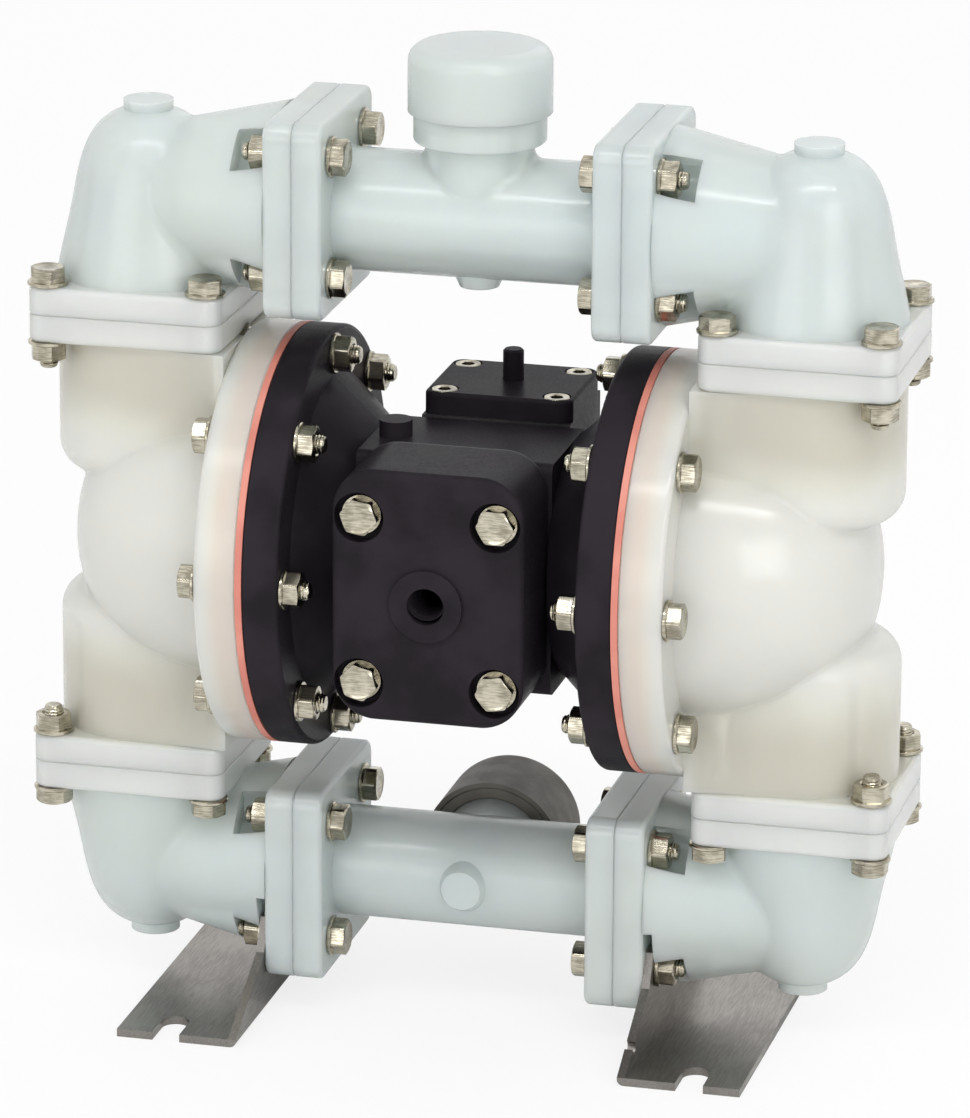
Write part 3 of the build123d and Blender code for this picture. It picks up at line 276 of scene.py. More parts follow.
@dataclass(frozen=True)
class MilkyPlastic(Finish):
    """Unpigmented plastic that light soaks into: cool in the pipes, cream over the diaphragms. Its ducts
    carry painted shade and the edges of their flanges painted light.

    Its heights are measured up and down from the rod, and its distances along the rod from the ring that
    holds a diaphragm. The edges of its tones wander a little, except at the ends of the ducts.
    """

    patch_detail: float = 2.0
    grain_detail: float = 2.0
    blend: Pair = (0.2, 0.8)
    rough_blend: Pair = (0.35, 0.65)
    relief_strength: float = 0.5
    wander_patch: float = 0.036
    wander: float = 0.02
    cream: Colour = from_screen(251, 251, 241)
    duct_shade: Colour = from_screen(226, 223, 210)
    # painted shade: the duller, darker tone laid over the ducts
    flange_light: Colour = from_screen(252, 254, 248)
    # painted light: the lighter tone laid on the thin flange edges, as if light bled through them
    stain: Colour = from_screen(208, 199, 156)
    glow: Colour = from_screen(250, 212, 198)
    cream_reach: float = 0.085
    cream_full: float = 0.07225
    ring_depth: Pair = (0.006, 0.014)
    duct_start: float = 0.036
    duct_fade: float = 0.02
    duct_end: float = 0.0635
    duct_edge: float = 0.003
    flange_end: float = 0.0785
    flange_edge: float = 0.001
    stain_rise: float = 0.0508
    stain_out: float = 1.25
    stain_reach: float = 0.026
    stain_stretch: Triple = (1.0, 0.6, 1.0)
    stain_share: float = 0.7
    glow_reach: float = 0.006
    glow_edge: float = 1.03
    glow_share: float = 0.45
    soak: float = 0.7
    soak_depth: float = 0.006
    soak_tint: Triple = (1.0, 0.95, 0.85)
    see_through: float = 0.4
    bending: float = 1.49

    def paint_duct_shade_and_flange_light(self, graph: Graph, colour: Socket, up: Socket, wander: Socket, past_ring: Socket) -> Socket:
        """Paint shade over the ducts, as from the passages inside, and paint light on the thin edges of their
        flanges, as if light bled through them.

        Args:
            graph: the material in the making.
            colour: the colour so far.
            up: height from the rod, up or down.
            wander: what makes edges wander.
            past_ring: 1 out of the ring's reach, and 0 in it.

        Returns:
            The new colour.
        """
        full = self.duct_start + self.duct_fade
        start = graph.spread(graph.maths("ADD", up, wander), self.duct_start, full)
        end = graph.spread(up, self.duct_end, self.duct_end - self.duct_edge)
        # painted shade over the ducts
        duct_shade_share = graph.maths("MULTIPLY", graph.maths("MULTIPLY", start, end), past_ring)
        colour = graph.mix(duct_shade_share, colour, self.duct_shade)
        start = graph.spread(up, self.duct_end - self.flange_edge, self.duct_end + self.flange_edge)
        end = graph.spread(up, self.flange_end + self.flange_edge, self.flange_end)
        # painted light on the thin edges of the flanges
        flange_light_share = graph.maths("MULTIPLY", graph.maths("MULTIPLY", start, end), past_ring)
        return graph.mix(flange_light_share, colour, self.flange_light)

    def stained(self, graph: Graph, colour: Socket, middle: Vector, ring: float, wander: Socket) -> Socket:
        """Add a faint stain at each valve seat.

        Args:
            graph: the material in the making.
            colour: the colour so far.
            middle: middle of the rod.
            ring: distance of the ring from it.
            wander: what makes edges wander.

        Returns:
            The new colour.
        """
        for rise in (-self.stain_rise, self.stain_rise):
            for side in (-ring, ring):
                seat = middle + Vector((self.stain_out * side, 0.0, rise))
                spot = graph.maths("ADD", graph.away_from(seat, Vector(self.stain_stretch)), wander)
                near = graph.spread(spot, self.stain_reach, 0.0, (0.0, self.stain_share))
                colour = graph.mix(near, colour, self.stain)
        return colour

    def material(self) -> bpy.types.Material:
        """Build the finish's material.

        Returns:
            The material.
        """
        low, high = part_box("right_diaphragm")
        middle = Vector((0.0, 0.0, (low.z + high.z) / 2))
        graph = Graph(self.name)
        patches = graph.noise(self.patch, self.patch_detail)
        colour = graph.mix(graph.spread(patches, *self.blend), self.colour, self.second)
        from_axis = graph.away_from(middle, ACROSS_ROD)
        along_rod = graph.away_from(ORIGIN, ALONG_ROD)
        up = graph.away_from(middle, UP)
        wander = graph.maths("MULTIPLY", graph.noise(self.wander_patch, self.patch_detail), self.wander)
        in_bowl = graph.spread(graph.maths("ADD", from_axis, wander), self.cream_reach, self.cream_full)
        colour = graph.mix(in_bowl, colour, self.cream)
        past_ring = graph.spread(along_rod, *(high.x + depth for depth in self.ring_depth))
        # painted shade over the ducts and painted light on the edges of their flanges
        colour = self.paint_duct_shade_and_flange_light(graph, colour, up, wander, past_ring)
        colour = self.stained(graph, colour, middle, high.x, wander)
        by_ring = graph.spread(along_rod, high.x + self.glow_reach, high.x, (0.0, self.glow_share))
        in_reach = graph.spread(from_axis, self.glow_edge * high.y, high.y)
        colour = graph.mix(graph.maths("MULTIPLY", by_ring, in_reach), colour, self.glow)
        roughness = graph.spread(patches, *self.rough_blend, self.roughness)
        graph.relief(graph.noise(self.grain, self.grain_detail), self.relief, self.relief_strength)
        fixed = {
            "Specular IOR Level": self.specular,
            "Subsurface Weight": self.soak,
            "Subsurface Radius": self.soak_tint,
            "Subsurface Scale": self.soak_depth,
            "IOR": self.bending,
            "Transmission Weight": self.see_through,
        }
        return graph.finish(colour, roughness, fixed)


@dataclass(frozen=True)
class DrawnMetal(Finish):
    """Metal with fine streaks, which run along the axes where the value of streak is lowest."""

    patch_detail: float = 3.0
    blend: Pair = (0.75, 1.25)
    streak: Triple = (1.0, 1.0, 12.0)
    streak_grains: float = 6.0

    def material(self) -> bpy.types.Material:
        """Build the finish's material.

        Returns:
            The material.
        """
        graph = Graph(self.name)
        patches = graph.noise(self.patch, self.patch_detail)
        streaks = graph.noise(self.grain * self.streak_grains, self.grain_detail, Vector(self.streak))
        both = graph.maths("ADD", patches, streaks)
        colour = graph.mix(graph.spread(both, *self.blend), self.colour, self.second)
        roughness = graph.spread(both, *self.rough_blend, self.roughness)
        graph.relief(streaks, self.relief)
        return graph.finish(colour, roughness, {"Metallic": self.metallic})


@dataclass(frozen=True)
class SinteredMetal(Finish):
    """Fused metal grains with pores between them."""

    blend: Pair = (0.25, 0.75)
    rough_blend: Pair = (0.1, 0.9)
    pit: Pair = (0.9, 0.0)

    def material(self) -> bpy.types.Material:
        """Build the finish's material.

        Returns:
            The material.
        """
        graph = Graph(self.name)
        inputs = {"Vector": graph.place, "Scale": 1 / self.grain}
        pores = graph.node("TexVoronoi", inputs).outputs["Distance"]
        colour = graph.mix(graph.spread(pores, *self.blend), self.colour, self.second)
        roughness = graph.spread(pores, *self.rough_blend, self.roughness)
        graph.relief(graph.spread(pores, *self.pit), self.relief)
        return graph.finish(colour, roughness, {"Metallic": self.metallic})


class Slot(Enum):
    """The record's material slots."""

    NATURAL = "natural_plastic"
    SEAL = "seal_elastomer"
    DIAPHRAGM = "diaphragm_elastomer"
    BALL = "ball_plastic"
    BLACK = "black_plastic"
    GREY_CAP = "grey_cap_plastic"
    STAINLESS = "stainless"
    FOOT = "foot_steel"
    ROD = "rod_steel"
    PLATE = "plate_metal"
    BEARING = "bearing_plastic"
    BRONZE = "muffler_bronze"


FINISHES: dict[Slot, Finish] = {
    Slot.NATURAL: MilkyPlastic(
        "natural_polypropylene", from_screen(229, 240, 240), from_screen(233, 240, 235),
        patch=0.06, roughness=(0.17, 0.25), grain=0.006, relief=0.00002,
    ),
    Slot.SEAL: Finish(
        "black_seal_rubber", from_screen(38, 36, 38), from_screen(50, 47, 48),
        patch=0.01, roughness=(0.5, 0.65), grain=0.0006, relief=0.00002,
    ),
    Slot.DIAPHRAGM: Finish(
        "pink_elastomer", from_screen(214, 138, 122), from_screen(200, 120, 106),
        patch=0.02, roughness=(0.45, 0.6), grain=0.0007, relief=0.00002,
    ),
    Slot.BALL: Finish(
        "white_ball_plastic", from_screen(236, 234, 226), from_screen(228, 226, 214),
        patch=0.012, roughness=(0.3, 0.42), grain=0.0008, relief=0.00001,
    ),
    Slot.BLACK: Finish(
        "black_glass_filled_plastic", from_screen(34, 31, 35), from_screen(44, 40, 45),
        patch=0.022, roughness=(0.3, 0.44), grain=0.0009, relief=0.00003, specular=0.035,
    ),
    Slot.GREY_CAP: Finish(
        "warm_grey_plastic", from_screen(106, 102, 95), from_screen(94, 90, 84),
        patch=0.008, roughness=(0.5, 0.65), grain=0.0005, relief=0.00003,
    ),
    Slot.STAINLESS: DrawnMetal(
        "stainless_hardware", from_screen(204, 198, 180), from_screen(146, 140, 124),
        patch=0.005, roughness=(0.12, 0.26), grain=0.0006, relief=0.00001, metallic=1.0,
    ),
    Slot.FOOT: DrawnMetal(
        "pressed_steel_sheet", from_screen(150, 146, 141), from_screen(130, 126, 122),
        patch=0.03, roughness=(0.29, 0.38), grain=0.0006, relief=0.000005, metallic=1.0,
        streak=(8.0, 0.6, 8.0),
    ),
    Slot.ROD: DrawnMetal(
        "ground_steel_rod", from_screen(206, 206, 204), from_screen(190, 190, 188),
        patch=0.01, roughness=(0.12, 0.22), grain=0.0003, relief=0.00001, metallic=1.0,
        streak=(10.0, 1.0, 1.0),
    ),
    Slot.PLATE: DrawnMetal(
        "turned_aluminium", from_screen(200, 202, 204), from_screen(182, 184, 186),
        patch=0.01, roughness=(0.29, 0.4), grain=0.0003, relief=0.00001, metallic=1.0,
        streak=(10.0, 1.0, 1.0),
    ),
    Slot.BEARING: Finish(
        "tan_bearing_plastic", from_screen(206, 188, 150), from_screen(196, 176, 138),
        patch=0.008, roughness=(0.35, 0.5), grain=0.0005, relief=0.00001,
    ),
    Slot.BRONZE: SinteredMetal(
        "sintered_bronze", from_screen(104, 82, 52), from_screen(186, 150, 98),
        patch=0.004, roughness=(0.45, 0.7), grain=0.0007, relief=0.0002, metallic=1.0,
    ),
}


class Paint:
    """Makes each finish once and puts it on pieces."""

    def __init__(self) -> None:
        """Build the material of every slot."""
        self.made = {slot: finish.material() for slot, finish in FINISHES.items()}

    def put_on(self, piece: bpy.types.Object, slot: Slot) -> None:
        """Give a piece the finish of a slot."""
        piece.data.materials.clear()
        piece.data.materials.append(self.made[slot])

    def dress_nodes(self) -> None:
        """Give every CAD node the finish of the slot that its material names."""
        for name, node in frame["nodes"].items():
            slot = Slot(node.data.materials[0].name.split(".")[0])
            node.material_slots[0].material = self.made[slot]
            log.info("node %s: %s", name, FINISHES[slot].name)


@dataclass
class Piece:
    """A mesh in the making, joined from rings of points."""

    name: str
    mesh: bmesh.types.BMesh = field(default_factory=bmesh.new)

    def skin(self, place: Matrix, rows: Rows, steps: int, closed: bool = False) -> None:
        """Join rings of points about an axis.

        Args:
            place: where the axis's foot lies and where it points, as its +Z.
            rows: height and radius of each ring, each a number or worked out from the angle.
            steps: points in each ring.
            closed: whether the last ring joins the first. Otherwise both ends are covered.
        """
        rings = []
        for height, radius in rows:
            ring = []
            for step in range(steps):
                angle = math.tau * step / steps
                reach = radius(angle) if callable(radius) else radius
                level = height(angle) if callable(height) else height
                point = Vector((reach * math.cos(angle), reach * math.sin(angle), level))
                ring.append(self.mesh.verts.new(place @ point))
            rings.append(ring)
        for below, above in zip(rings, rings[1:] + rings[:1] if closed else rings[1:]):
            for step in range(steps):
                beside = (step + 1) % steps
                self.mesh.faces.new((below[step], below[beside], above[beside], above[step]))
        if not closed:
            self.mesh.faces.new(rings[0][::-1])
            self.mesh.faces.new(rings[-1])

    def done(self) -> bpy.types.Object:
        """Turn the points into an object of the scene.

        Returns:
            The object.
        """
        bmesh.ops.recalc_face_normals(self.mesh, faces=self.mesh.faces)
        data = bpy.data.meshes.new(self.name)
        self.mesh.to_mesh(data)
        self.mesh.free()
        data.shade_smooth()
        data.set_sharp_from_angle(angle=SMOOTH_ANGLE)
        made = bpy.data.objects.new(self.name, data)
        bpy.context.scene.collection.objects.link(made)
        return made


def standing(foot: Vector, facing: Vector, turn: float = 0.0) -> Matrix:
    """Stand an axis on a point.

    Args:
        foot: the point.
        facing: where the axis points, as its +Z.
        turn: angle about the axis.

    Returns:
        The matrix of the place.
    """
    upright = facing.to_track_quat("Z", "Y").to_matrix().to_4x4()
    return Matrix.Translation(foot) @ upright @ Matrix.Rotation(turn, 4, "Z")


@dataclass(frozen=True)
class Seat:
    """Where a fastener's underside rests, how far it reaches below that and how wide it is."""

    foot: Vector
    facing: Vector
    reach: float
    across: float

    def place(self, turn: float) -> Matrix:
        """Matrix that stands a fastener on its seat, turned about its axis."""
        return standing(self.foot, self.facing, turn)


def loose_solids(name: str) -> list[list[Vector]]:
    """Split a CAD node into its loose solids.

    Args:
        name: the node.

    Returns:
        The corner points of each solid.
    """
    mesh = bmesh.new()
    mesh.from_mesh(frame["nodes"][name].data)
    bmesh.ops.remove_doubles(mesh, verts=mesh.verts, dist=WELD)
    left = set(mesh.verts)
    solids = []
    while left:
        edge = [left.pop()]
        solid = []
        while edge:
            corner = edge.pop()
            solid.append(corner.co.copy())
            near = {link.other_vert(corner) for link in corner.link_edges} & left
            left -= near
            edge.extend(near)
        solids.append(solid)
    mesh.free()
    return sorted(solids, key=lambda points: tuple(round(c, SORT_DIGITS) for c in points_box(points)[0]))


def points_box(points: Sequence[Vector]) -> tuple[Vector, Vector]:
    """Find the box round some points.

    Args:
        points: the points.

    Returns:
        Its lowest and its highest corner.
    """
    low = Vector(min(p[axis] for p in points) for axis in range(3))
    high = Vector(max(p[axis] for p in points) for axis in range(3))
    return low, high


def seats_of(name: str, along_shortest: bool) -> list[Seat]:
    """Read where a node's fasteners sit from their loose solids.

    Args:
        name: the CAD node.
        along_shortest: whether their axis is their shortest side, as a nut's is.

    Returns:
        One seat for each fastener.
    """
    seats = []
    for points in loose_solids(name):
        low, high = points_box(points)
        sides = list(high - low)
        axis = sides.index(min(sides) if along_shortest else max(sides))
        middle = (low + high) / 2
        outward = [(p - middle).length_squared - (p - middle)[axis] ** 2 for p in points]
        rim = max(outward)
        wide = [p[axis] for p, square in zip(points, outward) if square > RIM_SHARE * rim]
        wide_below = sum(wide) / len(wide) < middle[axis]
        facing = Vector((0.0, 0.0, 0.0))
        facing[axis] = 1.0 if wide_below == along_shortest else -1.0
        foot = middle.copy()
        foot[axis] = min(wide) if facing[axis] > 0 else max(wide)
        end = low[axis] if facing[axis] > 0 else high[axis]
        seats.append(Seat(foot, facing, abs(foot[axis] - end), 2 * math.sqrt(rim)))
    return seats


@dataclass(frozen=True)
class Hexagon:
    """Outline of a hexagon with its corners cut back."""

    flats: float
    corner_cut: float = 0.975
    side_angle: float = math.tau / 6

    @property
    def corner_r(self) -> float:
        """Radius of its corners before they are cut back."""
        return self.flats / math.sqrt(3)

    def radius(self, angle: float) -> float:
        """Radius of the outline at an angle."""
        turn = angle % self.side_angle - self.side_angle / 2
        return min(self.flats / 2 / math.cos(turn), self.corner_cut * self.corner_r)

    def under_cone(self, top: float, start: float, slope: float) -> Reach:
        """Height of the outline's upper edge under a cone.

        Args:
            top: height of the flat top.
            start: radius where the cone starts.
            slope: drop of the cone over its run.

        Returns:
            The function of the angle that gives the height.
        """
        return lambda angle: top - max(0.0, self.radius(angle) - start) * slope


@dataclass(frozen=True)
class Thread:
    """A helical ridge. One that stands inwards from a bore has a negative depth."""

    crest: float
    depth: float
    pitch: float
    rows_per_pitch: int = 6
    least_rows: int = 2
    steepness: float = 1.25

    def ridge(self, height: float, fade: float, angle: float) -> float:
        """Radius of the ridge.

        Args:
            height: height above the thread's own start.
            fade: share of the full ridge at this height.
            angle: angle about its axis.

        Returns:
            The radius there.
        """
        turn = (height / self.pitch - angle / math.tau) % 1.0
        rise = 1.0 - abs(2.0 * turn - 1.0)
        return self.crest - self.depth * (1.0 - fade * min(1.0, self.steepness * rise))

    def rows(self, start: float, end: float) -> Rows:
        """Rows of a threaded length that fades out at both ends.

        Args:
            start: height where the thread starts.
            end: height where it ends.

        Returns:
            Height and radius of each row.
        """
        count = max(self.least_rows, round(abs(end - start) / self.pitch * self.rows_per_pitch))
        rows = []
        for row in range(count + 1):
            height = start + (end - start) * row / count
            from_end = min(abs(height - start), abs(end - height))
            rows.append((height, partial(self.ridge, height, min(1.0, from_end / self.pitch))))
        return rows


@dataclass(frozen=True)
class Shank:
    """Plain shank with a threaded end."""

    thread: Thread
    threaded: float
    tip: float = 0.0004
    least_plain: float = 0.001
    steps: int = 24

    def add_to(self, piece: Piece, place: Matrix, reach: float) -> None:
        """Add the shank below a fastener's seat.

        Args:
            piece: the mesh that takes it.
            place: the fastener's place.
            reach: its length.
        """
        root = self.thread.crest - self.thread.depth
        start = -max(reach - self.threaded, self.least_plain)
        rows = [(0.0, self.thread.crest), (start, self.thread.crest)]
        rows += self.thread.rows(start - self.tip, self.tip - reach)
        rows.append((-reach, root - self.tip))
        piece.skin(place, rows, self.steps)


@dataclass(frozen=True)
class HexFastener:
    """Hexagon on a washer face, chamfered at its top."""

    hexagon: Hexagon = Hexagon(flats=0.010)
    washer_h: float = 0.0012
    edge: float = 0.0003
    head_h: float = 0.0055
    chamfer_start: float = 0.0047
    chamfer_slope: float = 0.5
    steps: int = 72

    def outside(self, face: float) -> Rows:
        """Rows from the washer face up to the flat top.

        Args:
            face: radius of the washer face.

        Returns:
            Height and radius of each row.
        """
        chamfer = self.hexagon.under_cone(self.head_h, self.chamfer_start, self.chamfer_slope)
        return [
            (0.0, face - self.edge),
            (self.edge, face),
            (self.washer_h - self.edge, face),
            (self.washer_h, face - self.edge),
            (self.washer_h, self.hexagon.radius),
            (chamfer, self.hexagon.radius),
            (self.head_h, self.chamfer_start),
        ]


@dataclass(frozen=True)
class HexBolt(HexFastener):
    """Hexagon bolt whose head is dished a little."""

    dish: float = 0.0002
    dish_r: float = 0.0038
    shank: Shank = Shank(Thread(crest=0.00298, depth=0.00042, pitch=0.001), threaded=0.012)

    def add_to(self, piece: Piece, seat: Seat, turn: float) -> None:
        """Add one bolt to a piece.

        Args:
            piece: the mesh that takes it.
            seat: where its washer face rests.
            turn: angle of its hexagon.
        """
        place = seat.place(turn)
        rows = self.outside(seat.across / 2) + [(self.head_h - self.dish, self.dish_r)]
        piece.skin(place, rows, self.steps)
        self.shank.add_to(piece, place, seat.reach)


@dataclass(frozen=True)
class HexNut(HexFastener):
    """Hexagon nut."""

    head_h: float = 0.006
    bore: float = 0.00306
    lead_in: float = 0.0005

    def add_to(self, piece: Piece, seat: Seat, turn: float) -> None:
        """Add one nut to a piece.

        Args:
            piece: the mesh that takes it.
            seat: where its washer face rests.
            turn: angle of its hexagon.
        """
        rows = [(0.0, self.bore)] + self.outside(seat.across / 2)
        rows += [(self.head_h, self.bore + self.lead_in), (self.head_h - self.lead_in, self.bore)]
        piece.skin(seat.place(turn), rows, self.steps, closed=True)


@dataclass(frozen=True)
class SocketScrew:
    """Cap screw with a knurled round head and a hexagon socket."""

    head_h: float = 0.005
    edge: float = 0.0005
    knurl_depth: float = 0.00012
    knurls: int = 36
    socket: Hexagon = Hexagon(flats=0.00368, corner_cut=1.0)
    socket_depth: float = 0.0024
    lead_in: float = 0.0002
    shank: Shank = Shank(Thread(crest=0.00248, depth=0.0004, pitch=0.0008), threaded=0.012)
    steps: int = 144

    def add_to(self, piece: Piece, seat: Seat, turn: float) -> None:
        """Add one screw to a piece.

        Args:
            piece: the mesh that takes it.
            seat: where its head rests.
            turn: angle of its socket.
        """
        place = seat.place(turn)
        face = seat.across / 2

        def knurled(angle: float) -> float:
            """Radius of the knurled side at an angle."""
            return face - self.knurl_depth * (1.0 + math.cos(self.knurls * angle)) / 2

        rows = [
            (0.0, face - self.edge),
            (self.edge, knurled),
            (self.head_h - self.edge, knurled),
            (self.head_h, face - self.edge),
            (self.head_h, self.socket.corner_r + self.lead_in),
            (self.head_h - self.lead_in, self.socket.radius),
            (self.head_h - self.socket_depth, self.socket.radius),
        ]
        piece.skin(place, rows, self.steps)
        self.shank.add_to(piece, place, seat.reach)


@dataclass(frozen=True)
class Lamp:
    """A soft lamp: where it hangs, its width and height, and its power in watts."""

    name: str
    place: Triple
    size: Pair
    power: float

    def hang(self, target: Vector) -> None:
        """Add the lamp to the scene.

        Args:
            target: the point that it faces.
        """
        data = bpy.data.lights.new(self.name, "AREA")
        data.shape = "RECTANGLE"
        data.size, data.size_y = self.size
        data.energy = self.power
        made = bpy.data.objects.new(self.name, data)
        made.location = self.place
        made.rotation_mode = "QUATERNION"
        made.rotation_quaternion = (target - Vector(self.place)).to_track_quat("-Z", "Y")
        bpy.context.scene.collection.objects.link(made)


LAMPS = (
    Lamp("strip_lamp", place=(0.25, -1.15, 2.0), size=(2.2, 0.16), power=12.0),
    Lamp("key_lamp", place=(1.5, -1.9, 1.1), size=(1.2, 1.2), power=13.0),
    Lamp("fill_lamp", place=(-0.9, -2.2, 0.4), size=(1.4, 1.0), power=6.0),
    Lamp("back_lamp", place=(0.3, 2.2, 1.6), size=(1.6, 1.6), power=3.0),
)


@dataclass
class Studio:
    """Camera, floor, soft lamps and a white surround."""

    target: Vector = field(default_factory=lambda: Vector((0.0022, 0.0, 0.14096)))
    distance: float = 2.122
    azimuth: float = math.radians(14.09)
    elevation: float = math.radians(17.377)
    roll: float = math.radians(0.336)
    lens: float = 226.46
    sensor: float = 36.0
    far_clip: float = 50.0
    surround_level: float = 0.82
    floor_side: float = 14.0
    floor_tones: tuple[Colour, Colour] = ((0.90, 0.90, 0.90), (0.92, 0.92, 0.92))
    floor_roughness: Pair = (0.85, 0.95)
    floor_patch: float = 0.4
    floor_grain: float = 0.1
    floor_glow: float = 0.8

    def camera(self) -> None:
        """Make the camera at the photograph's viewing angle."""
        back = Vector((
            math.sin(self.azimuth) * math.cos(self.elevation),
            -math.cos(self.azimuth) * math.cos(self.elevation),
            math.sin(self.elevation),
        ))
        data = bpy.data.cameras.new("camera")
        data.lens = self.lens
        data.sensor_width = self.sensor
        data.clip_end = self.far_clip
        made = bpy.data.objects.new("camera", data)
        made.location = self.target + back * self.distance
        made.rotation_mode = "QUATERNION"
        level = (-back).to_track_quat("-Z", "Y")
        made.rotation_quaternion = level @ Matrix.Rotation(self.roll, 3, "Z").to_quaternion()
        bpy.context.scene.collection.objects.link(made)
        bpy.context.scene.camera = made
        bpy.context.scene.view_settings.view_transform = "Standard"
        log.info("camera: lens %.1f mm", self.lens)

    def surround(self) -> None:
        """Fill the room with plain light, and show it white where it is seen, mirrored or seen through."""
        world = bpy.data.worlds.new("surround")
        world.use_nodes = True
        bpy.context.scene.world = world
        tree = world.node_tree
        background = tree.nodes["Background"]
        background.inputs["Color"].default_value = (1.0, 1.0, 1.0, 1.0)
        rays = tree.nodes.new("ShaderNodeLightPath")
        shown = rays.outputs["Is Camera Ray"]
        for kind in ("Is Transmission Ray", "Is Glossy Ray"):
            either = tree.nodes.new("ShaderNodeMath")
            either.operation = "MAXIMUM"
            tree.links.new(shown, either.inputs[0])
            tree.links.new(rays.outputs[kind], either.inputs[1])
            shown = either.outputs[0]
        strength = tree.nodes.new("ShaderNodeMapRange")
        strength.inputs["To Min"].default_value = self.surround_level
        strength.inputs["To Max"].default_value = 1.0
        tree.links.new(shown, strength.inputs["Value"])
        tree.links.new(strength.outputs[0], background.inputs["Strength"])

    def floor(self) -> None:
        """Lay a plain pale floor that shows nearly as white as the surround."""
        mesh = bmesh.new()
        bmesh.ops.create_grid(mesh, x_segments=2, y_segments=2, size=self.floor_side / 2)
        data = bpy.data.meshes.new("floor")
        mesh.to_mesh(data)
        mesh.free()
        made = bpy.data.objects.new("floor", data)
        bpy.context.scene.collection.objects.link(made)
        graph = Graph("pale_floor")
        mottled = graph.mix(graph.noise(self.floor_patch), *self.floor_tones)
        roughness = graph.spread(graph.noise(self.floor_grain), 0.0, 1.0, self.floor_roughness)
        graph.finish(mottled, roughness, {})
        rays = graph.node("LightPath", {})
        glow = graph.node("Emission", {"Color": (1.0, 1.0, 1.0), "Strength": 1.0})
        seen = graph.maths("MULTIPLY", rays.outputs["Is Camera Ray"], self.floor_glow)
        blend = graph.node("MixShader", {0: seen, 1: graph.shader.outputs[0], 2: glow.outputs[0]})
        output = graph.tree.nodes["Material Output"]
        graph.tree.links.new(blend.outputs[0], output.inputs["Surface"])
        data.materials.append(graph.material)

    def build(self) -> None:
        """Set up the whole studio."""
        self.camera()
        for lamp in LAMPS:
            lamp.hang(self.target)
        self.surround()
        self.floor()


Fastener = HexBolt | HexNut | SocketScrew


@dataclass
class Hardware:
    """The bolts, nuts and screws that hold the pump together."""

    paint: Paint
    bolt: HexBolt = HexBolt()
    nut: HexNut = HexNut()
    screw: SocketScrew = SocketScrew()
    seed: int = 11

    def group(self, node: str, kind: Fastener) -> None:
        """Replace a node's plain fasteners with detailed ones.

        Args:
            node: the CAD node.
            kind: the fastener that takes their place.
        """
        turns = random.Random(self.seed + len(node))
        piece = Piece(f"{node}_detailed")
        seats = seats_of(node, isinstance(kind, HexNut))
        for seat in seats:
            kind.add_to(piece, seat, turns.uniform(0.0, math.tau))
        made = piece.done()
        self.paint.put_on(made, Slot.STAINLESS)
        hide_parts(node)
        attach(made, frame["nodes"][node]["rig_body"])
        log.info("%s: %d fasteners", made.name, len(seats))

    def build(self) -> None:
        """Build every group."""
        for node in ("chamber_bolts", "elbow_bolts", "manifold_bolts", "cover_bolts"):
            self.group(node, self.bolt)
        for node in ("chamber_nuts", "elbow_nuts", "manifold_nuts"):
            self.group(node, self.nut)
        for node in ("valve_cap_screws", "valve_mount_screws"):
            self.group(node, self.screw)


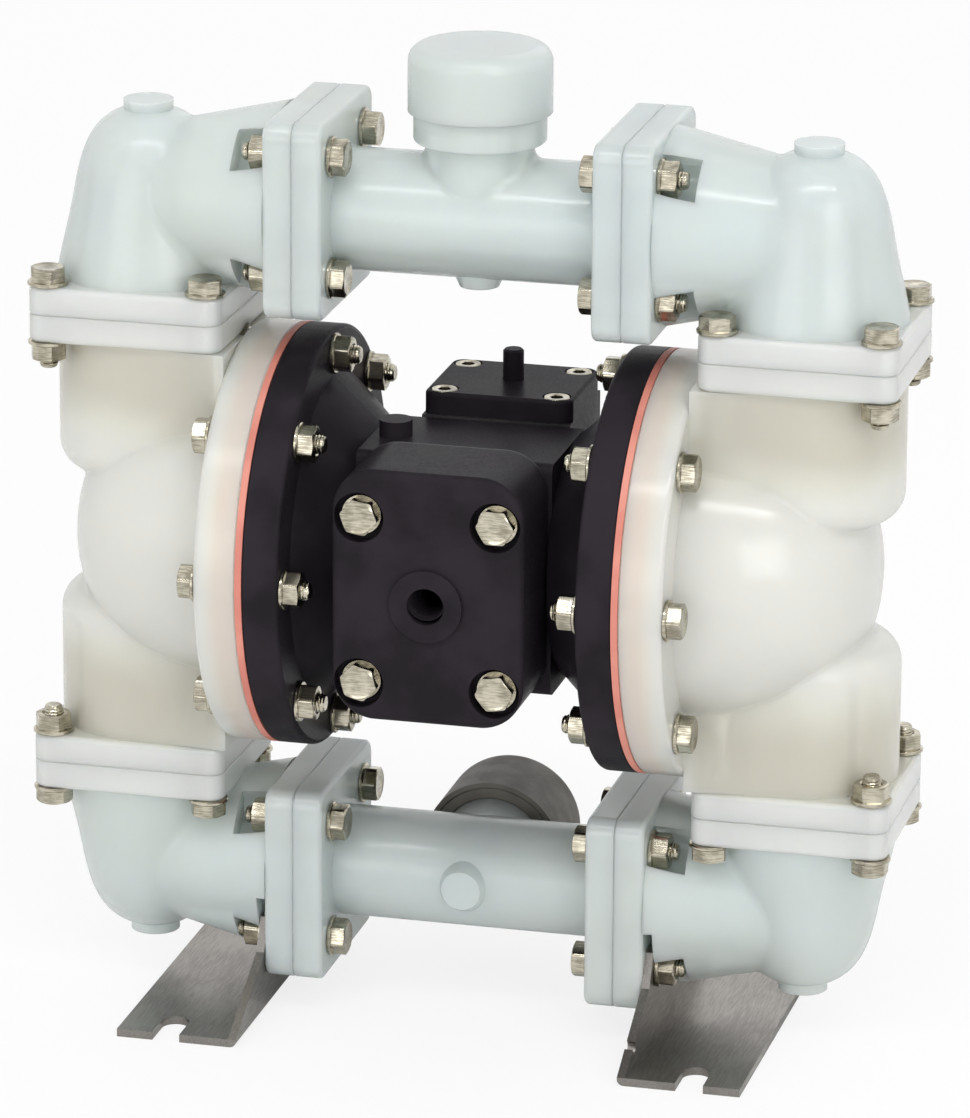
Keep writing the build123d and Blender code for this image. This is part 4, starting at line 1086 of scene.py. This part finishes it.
@dataclass
class PortThreads:
    """The threads in the pipe connections and on the necks under the caps."""

    paint: Paint
    neck: Thread = Thread(crest=0.0169, depth=0.00106, pitch=0.002209)
    neck_len: float = 0.0168
    pipe_bore: Thread = Thread(crest=0.00878, depth=-0.00046, pitch=0.001814)
    inlet_bore: Thread = Thread(crest=0.00524, depth=-0.0004, pitch=0.001411)
    bore_len: float = 0.0138
    hidden: float = 0.0003
    mouth_gap: float = 0.0011
    steps: int = 96

    def ring(self, name: str, thread: Thread, mouth: Vector, axis: Vector, length: float, slot: Slot) -> None:
        """Add one threaded ring.

        Args:
            name: the piece's name.
            thread: its thread.
            mouth: middle of the connection's open end.
            axis: direction out of the connection.
            length: how deep the thread goes from the mouth.
            slot: the slot of its finish.
        """
        behind = thread.crest - thread.depth - math.copysign(self.hidden, thread.depth)
        piece = Piece(name)
        rows = [(-length, behind)] + thread.rows(-length, -self.mouth_gap) + [(-self.mouth_gap, behind)]
        piece.skin(standing(mouth, axis), rows, self.steps, closed=True)
        made = piece.done()
        self.paint.put_on(made, slot)
        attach(made, frame["nodes"]["inlet_cover"]["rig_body"])
        log.info("%s: %.1f mm long", name, MILLIMETRES * length)

    def build(self) -> None:
        """Build the threads of the three connections and of the two necks."""
        low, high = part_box("inlet_cover")
        front = Vector((0.0, low.y, (low.z + high.z) / 2))
        self.ring("inlet_thread", self.inlet_bore, front, FRONT, self.bore_len, Slot.BLACK)
        top = Vector((0.0, 0.0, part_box("discharge_manifold")[1].z))
        low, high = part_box("suction_manifold")
        rear = Vector((0.0, high.y, (low.z + high.z) / 2))
        for name, mouth, axis in (("discharge", top, UP), ("suction", rear, REAR)):
            self.ring(f"{name}_bore_thread", self.pipe_bore, mouth, axis, self.bore_len, Slot.NATURAL)
            self.ring(f"{name}_neck_thread", self.neck, mouth, axis, self.neck_len, Slot.NATURAL)


@dataclass
class DustRing:
    """The grey ring that fills the suction cap's open skirt round the neck."""

    paint: Paint
    inner: float = 0.0163
    outer: float = 0.0199
    depth: float = 0.002
    set_back: float = 0.0004
    edge: float = 0.0004
    steps: int = 96

    def build(self) -> None:
        """Build the ring."""
        low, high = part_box("suction_cap")
        foot = Vector((0.0, low.y + self.set_back, (low.z + high.z) / 2))
        piece = Piece("suction_dust_ring")
        rows = [
            (self.edge, self.inner), (0.0, self.inner + self.edge), (0.0, self.outer - self.edge),
            (self.edge, self.outer), (self.depth, self.outer), (self.depth, self.inner),
        ]
        piece.skin(standing(foot, REAR), rows, self.steps, closed=True)
        made = piece.done()
        self.paint.put_on(made, Slot.GREY_CAP)
        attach(made, frame["nodes"]["suction_manifold"]["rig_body"])
        log.info("%s: %.1f mm across", made.name, 2 * MILLIMETRES * self.outer)


def main() -> None:
    """Build the pump's looks and its studio in order."""
    logging.basicConfig(level=logging.INFO, format="%(name)s: %(message)s")
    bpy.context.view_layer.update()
    Studio().build()
    paint = Paint()
    paint.dress_nodes()
    Hardware(paint).build()
    PortThreads(paint).build()
    DustRing(paint).build()


if __name__ == "__main__":
    main()
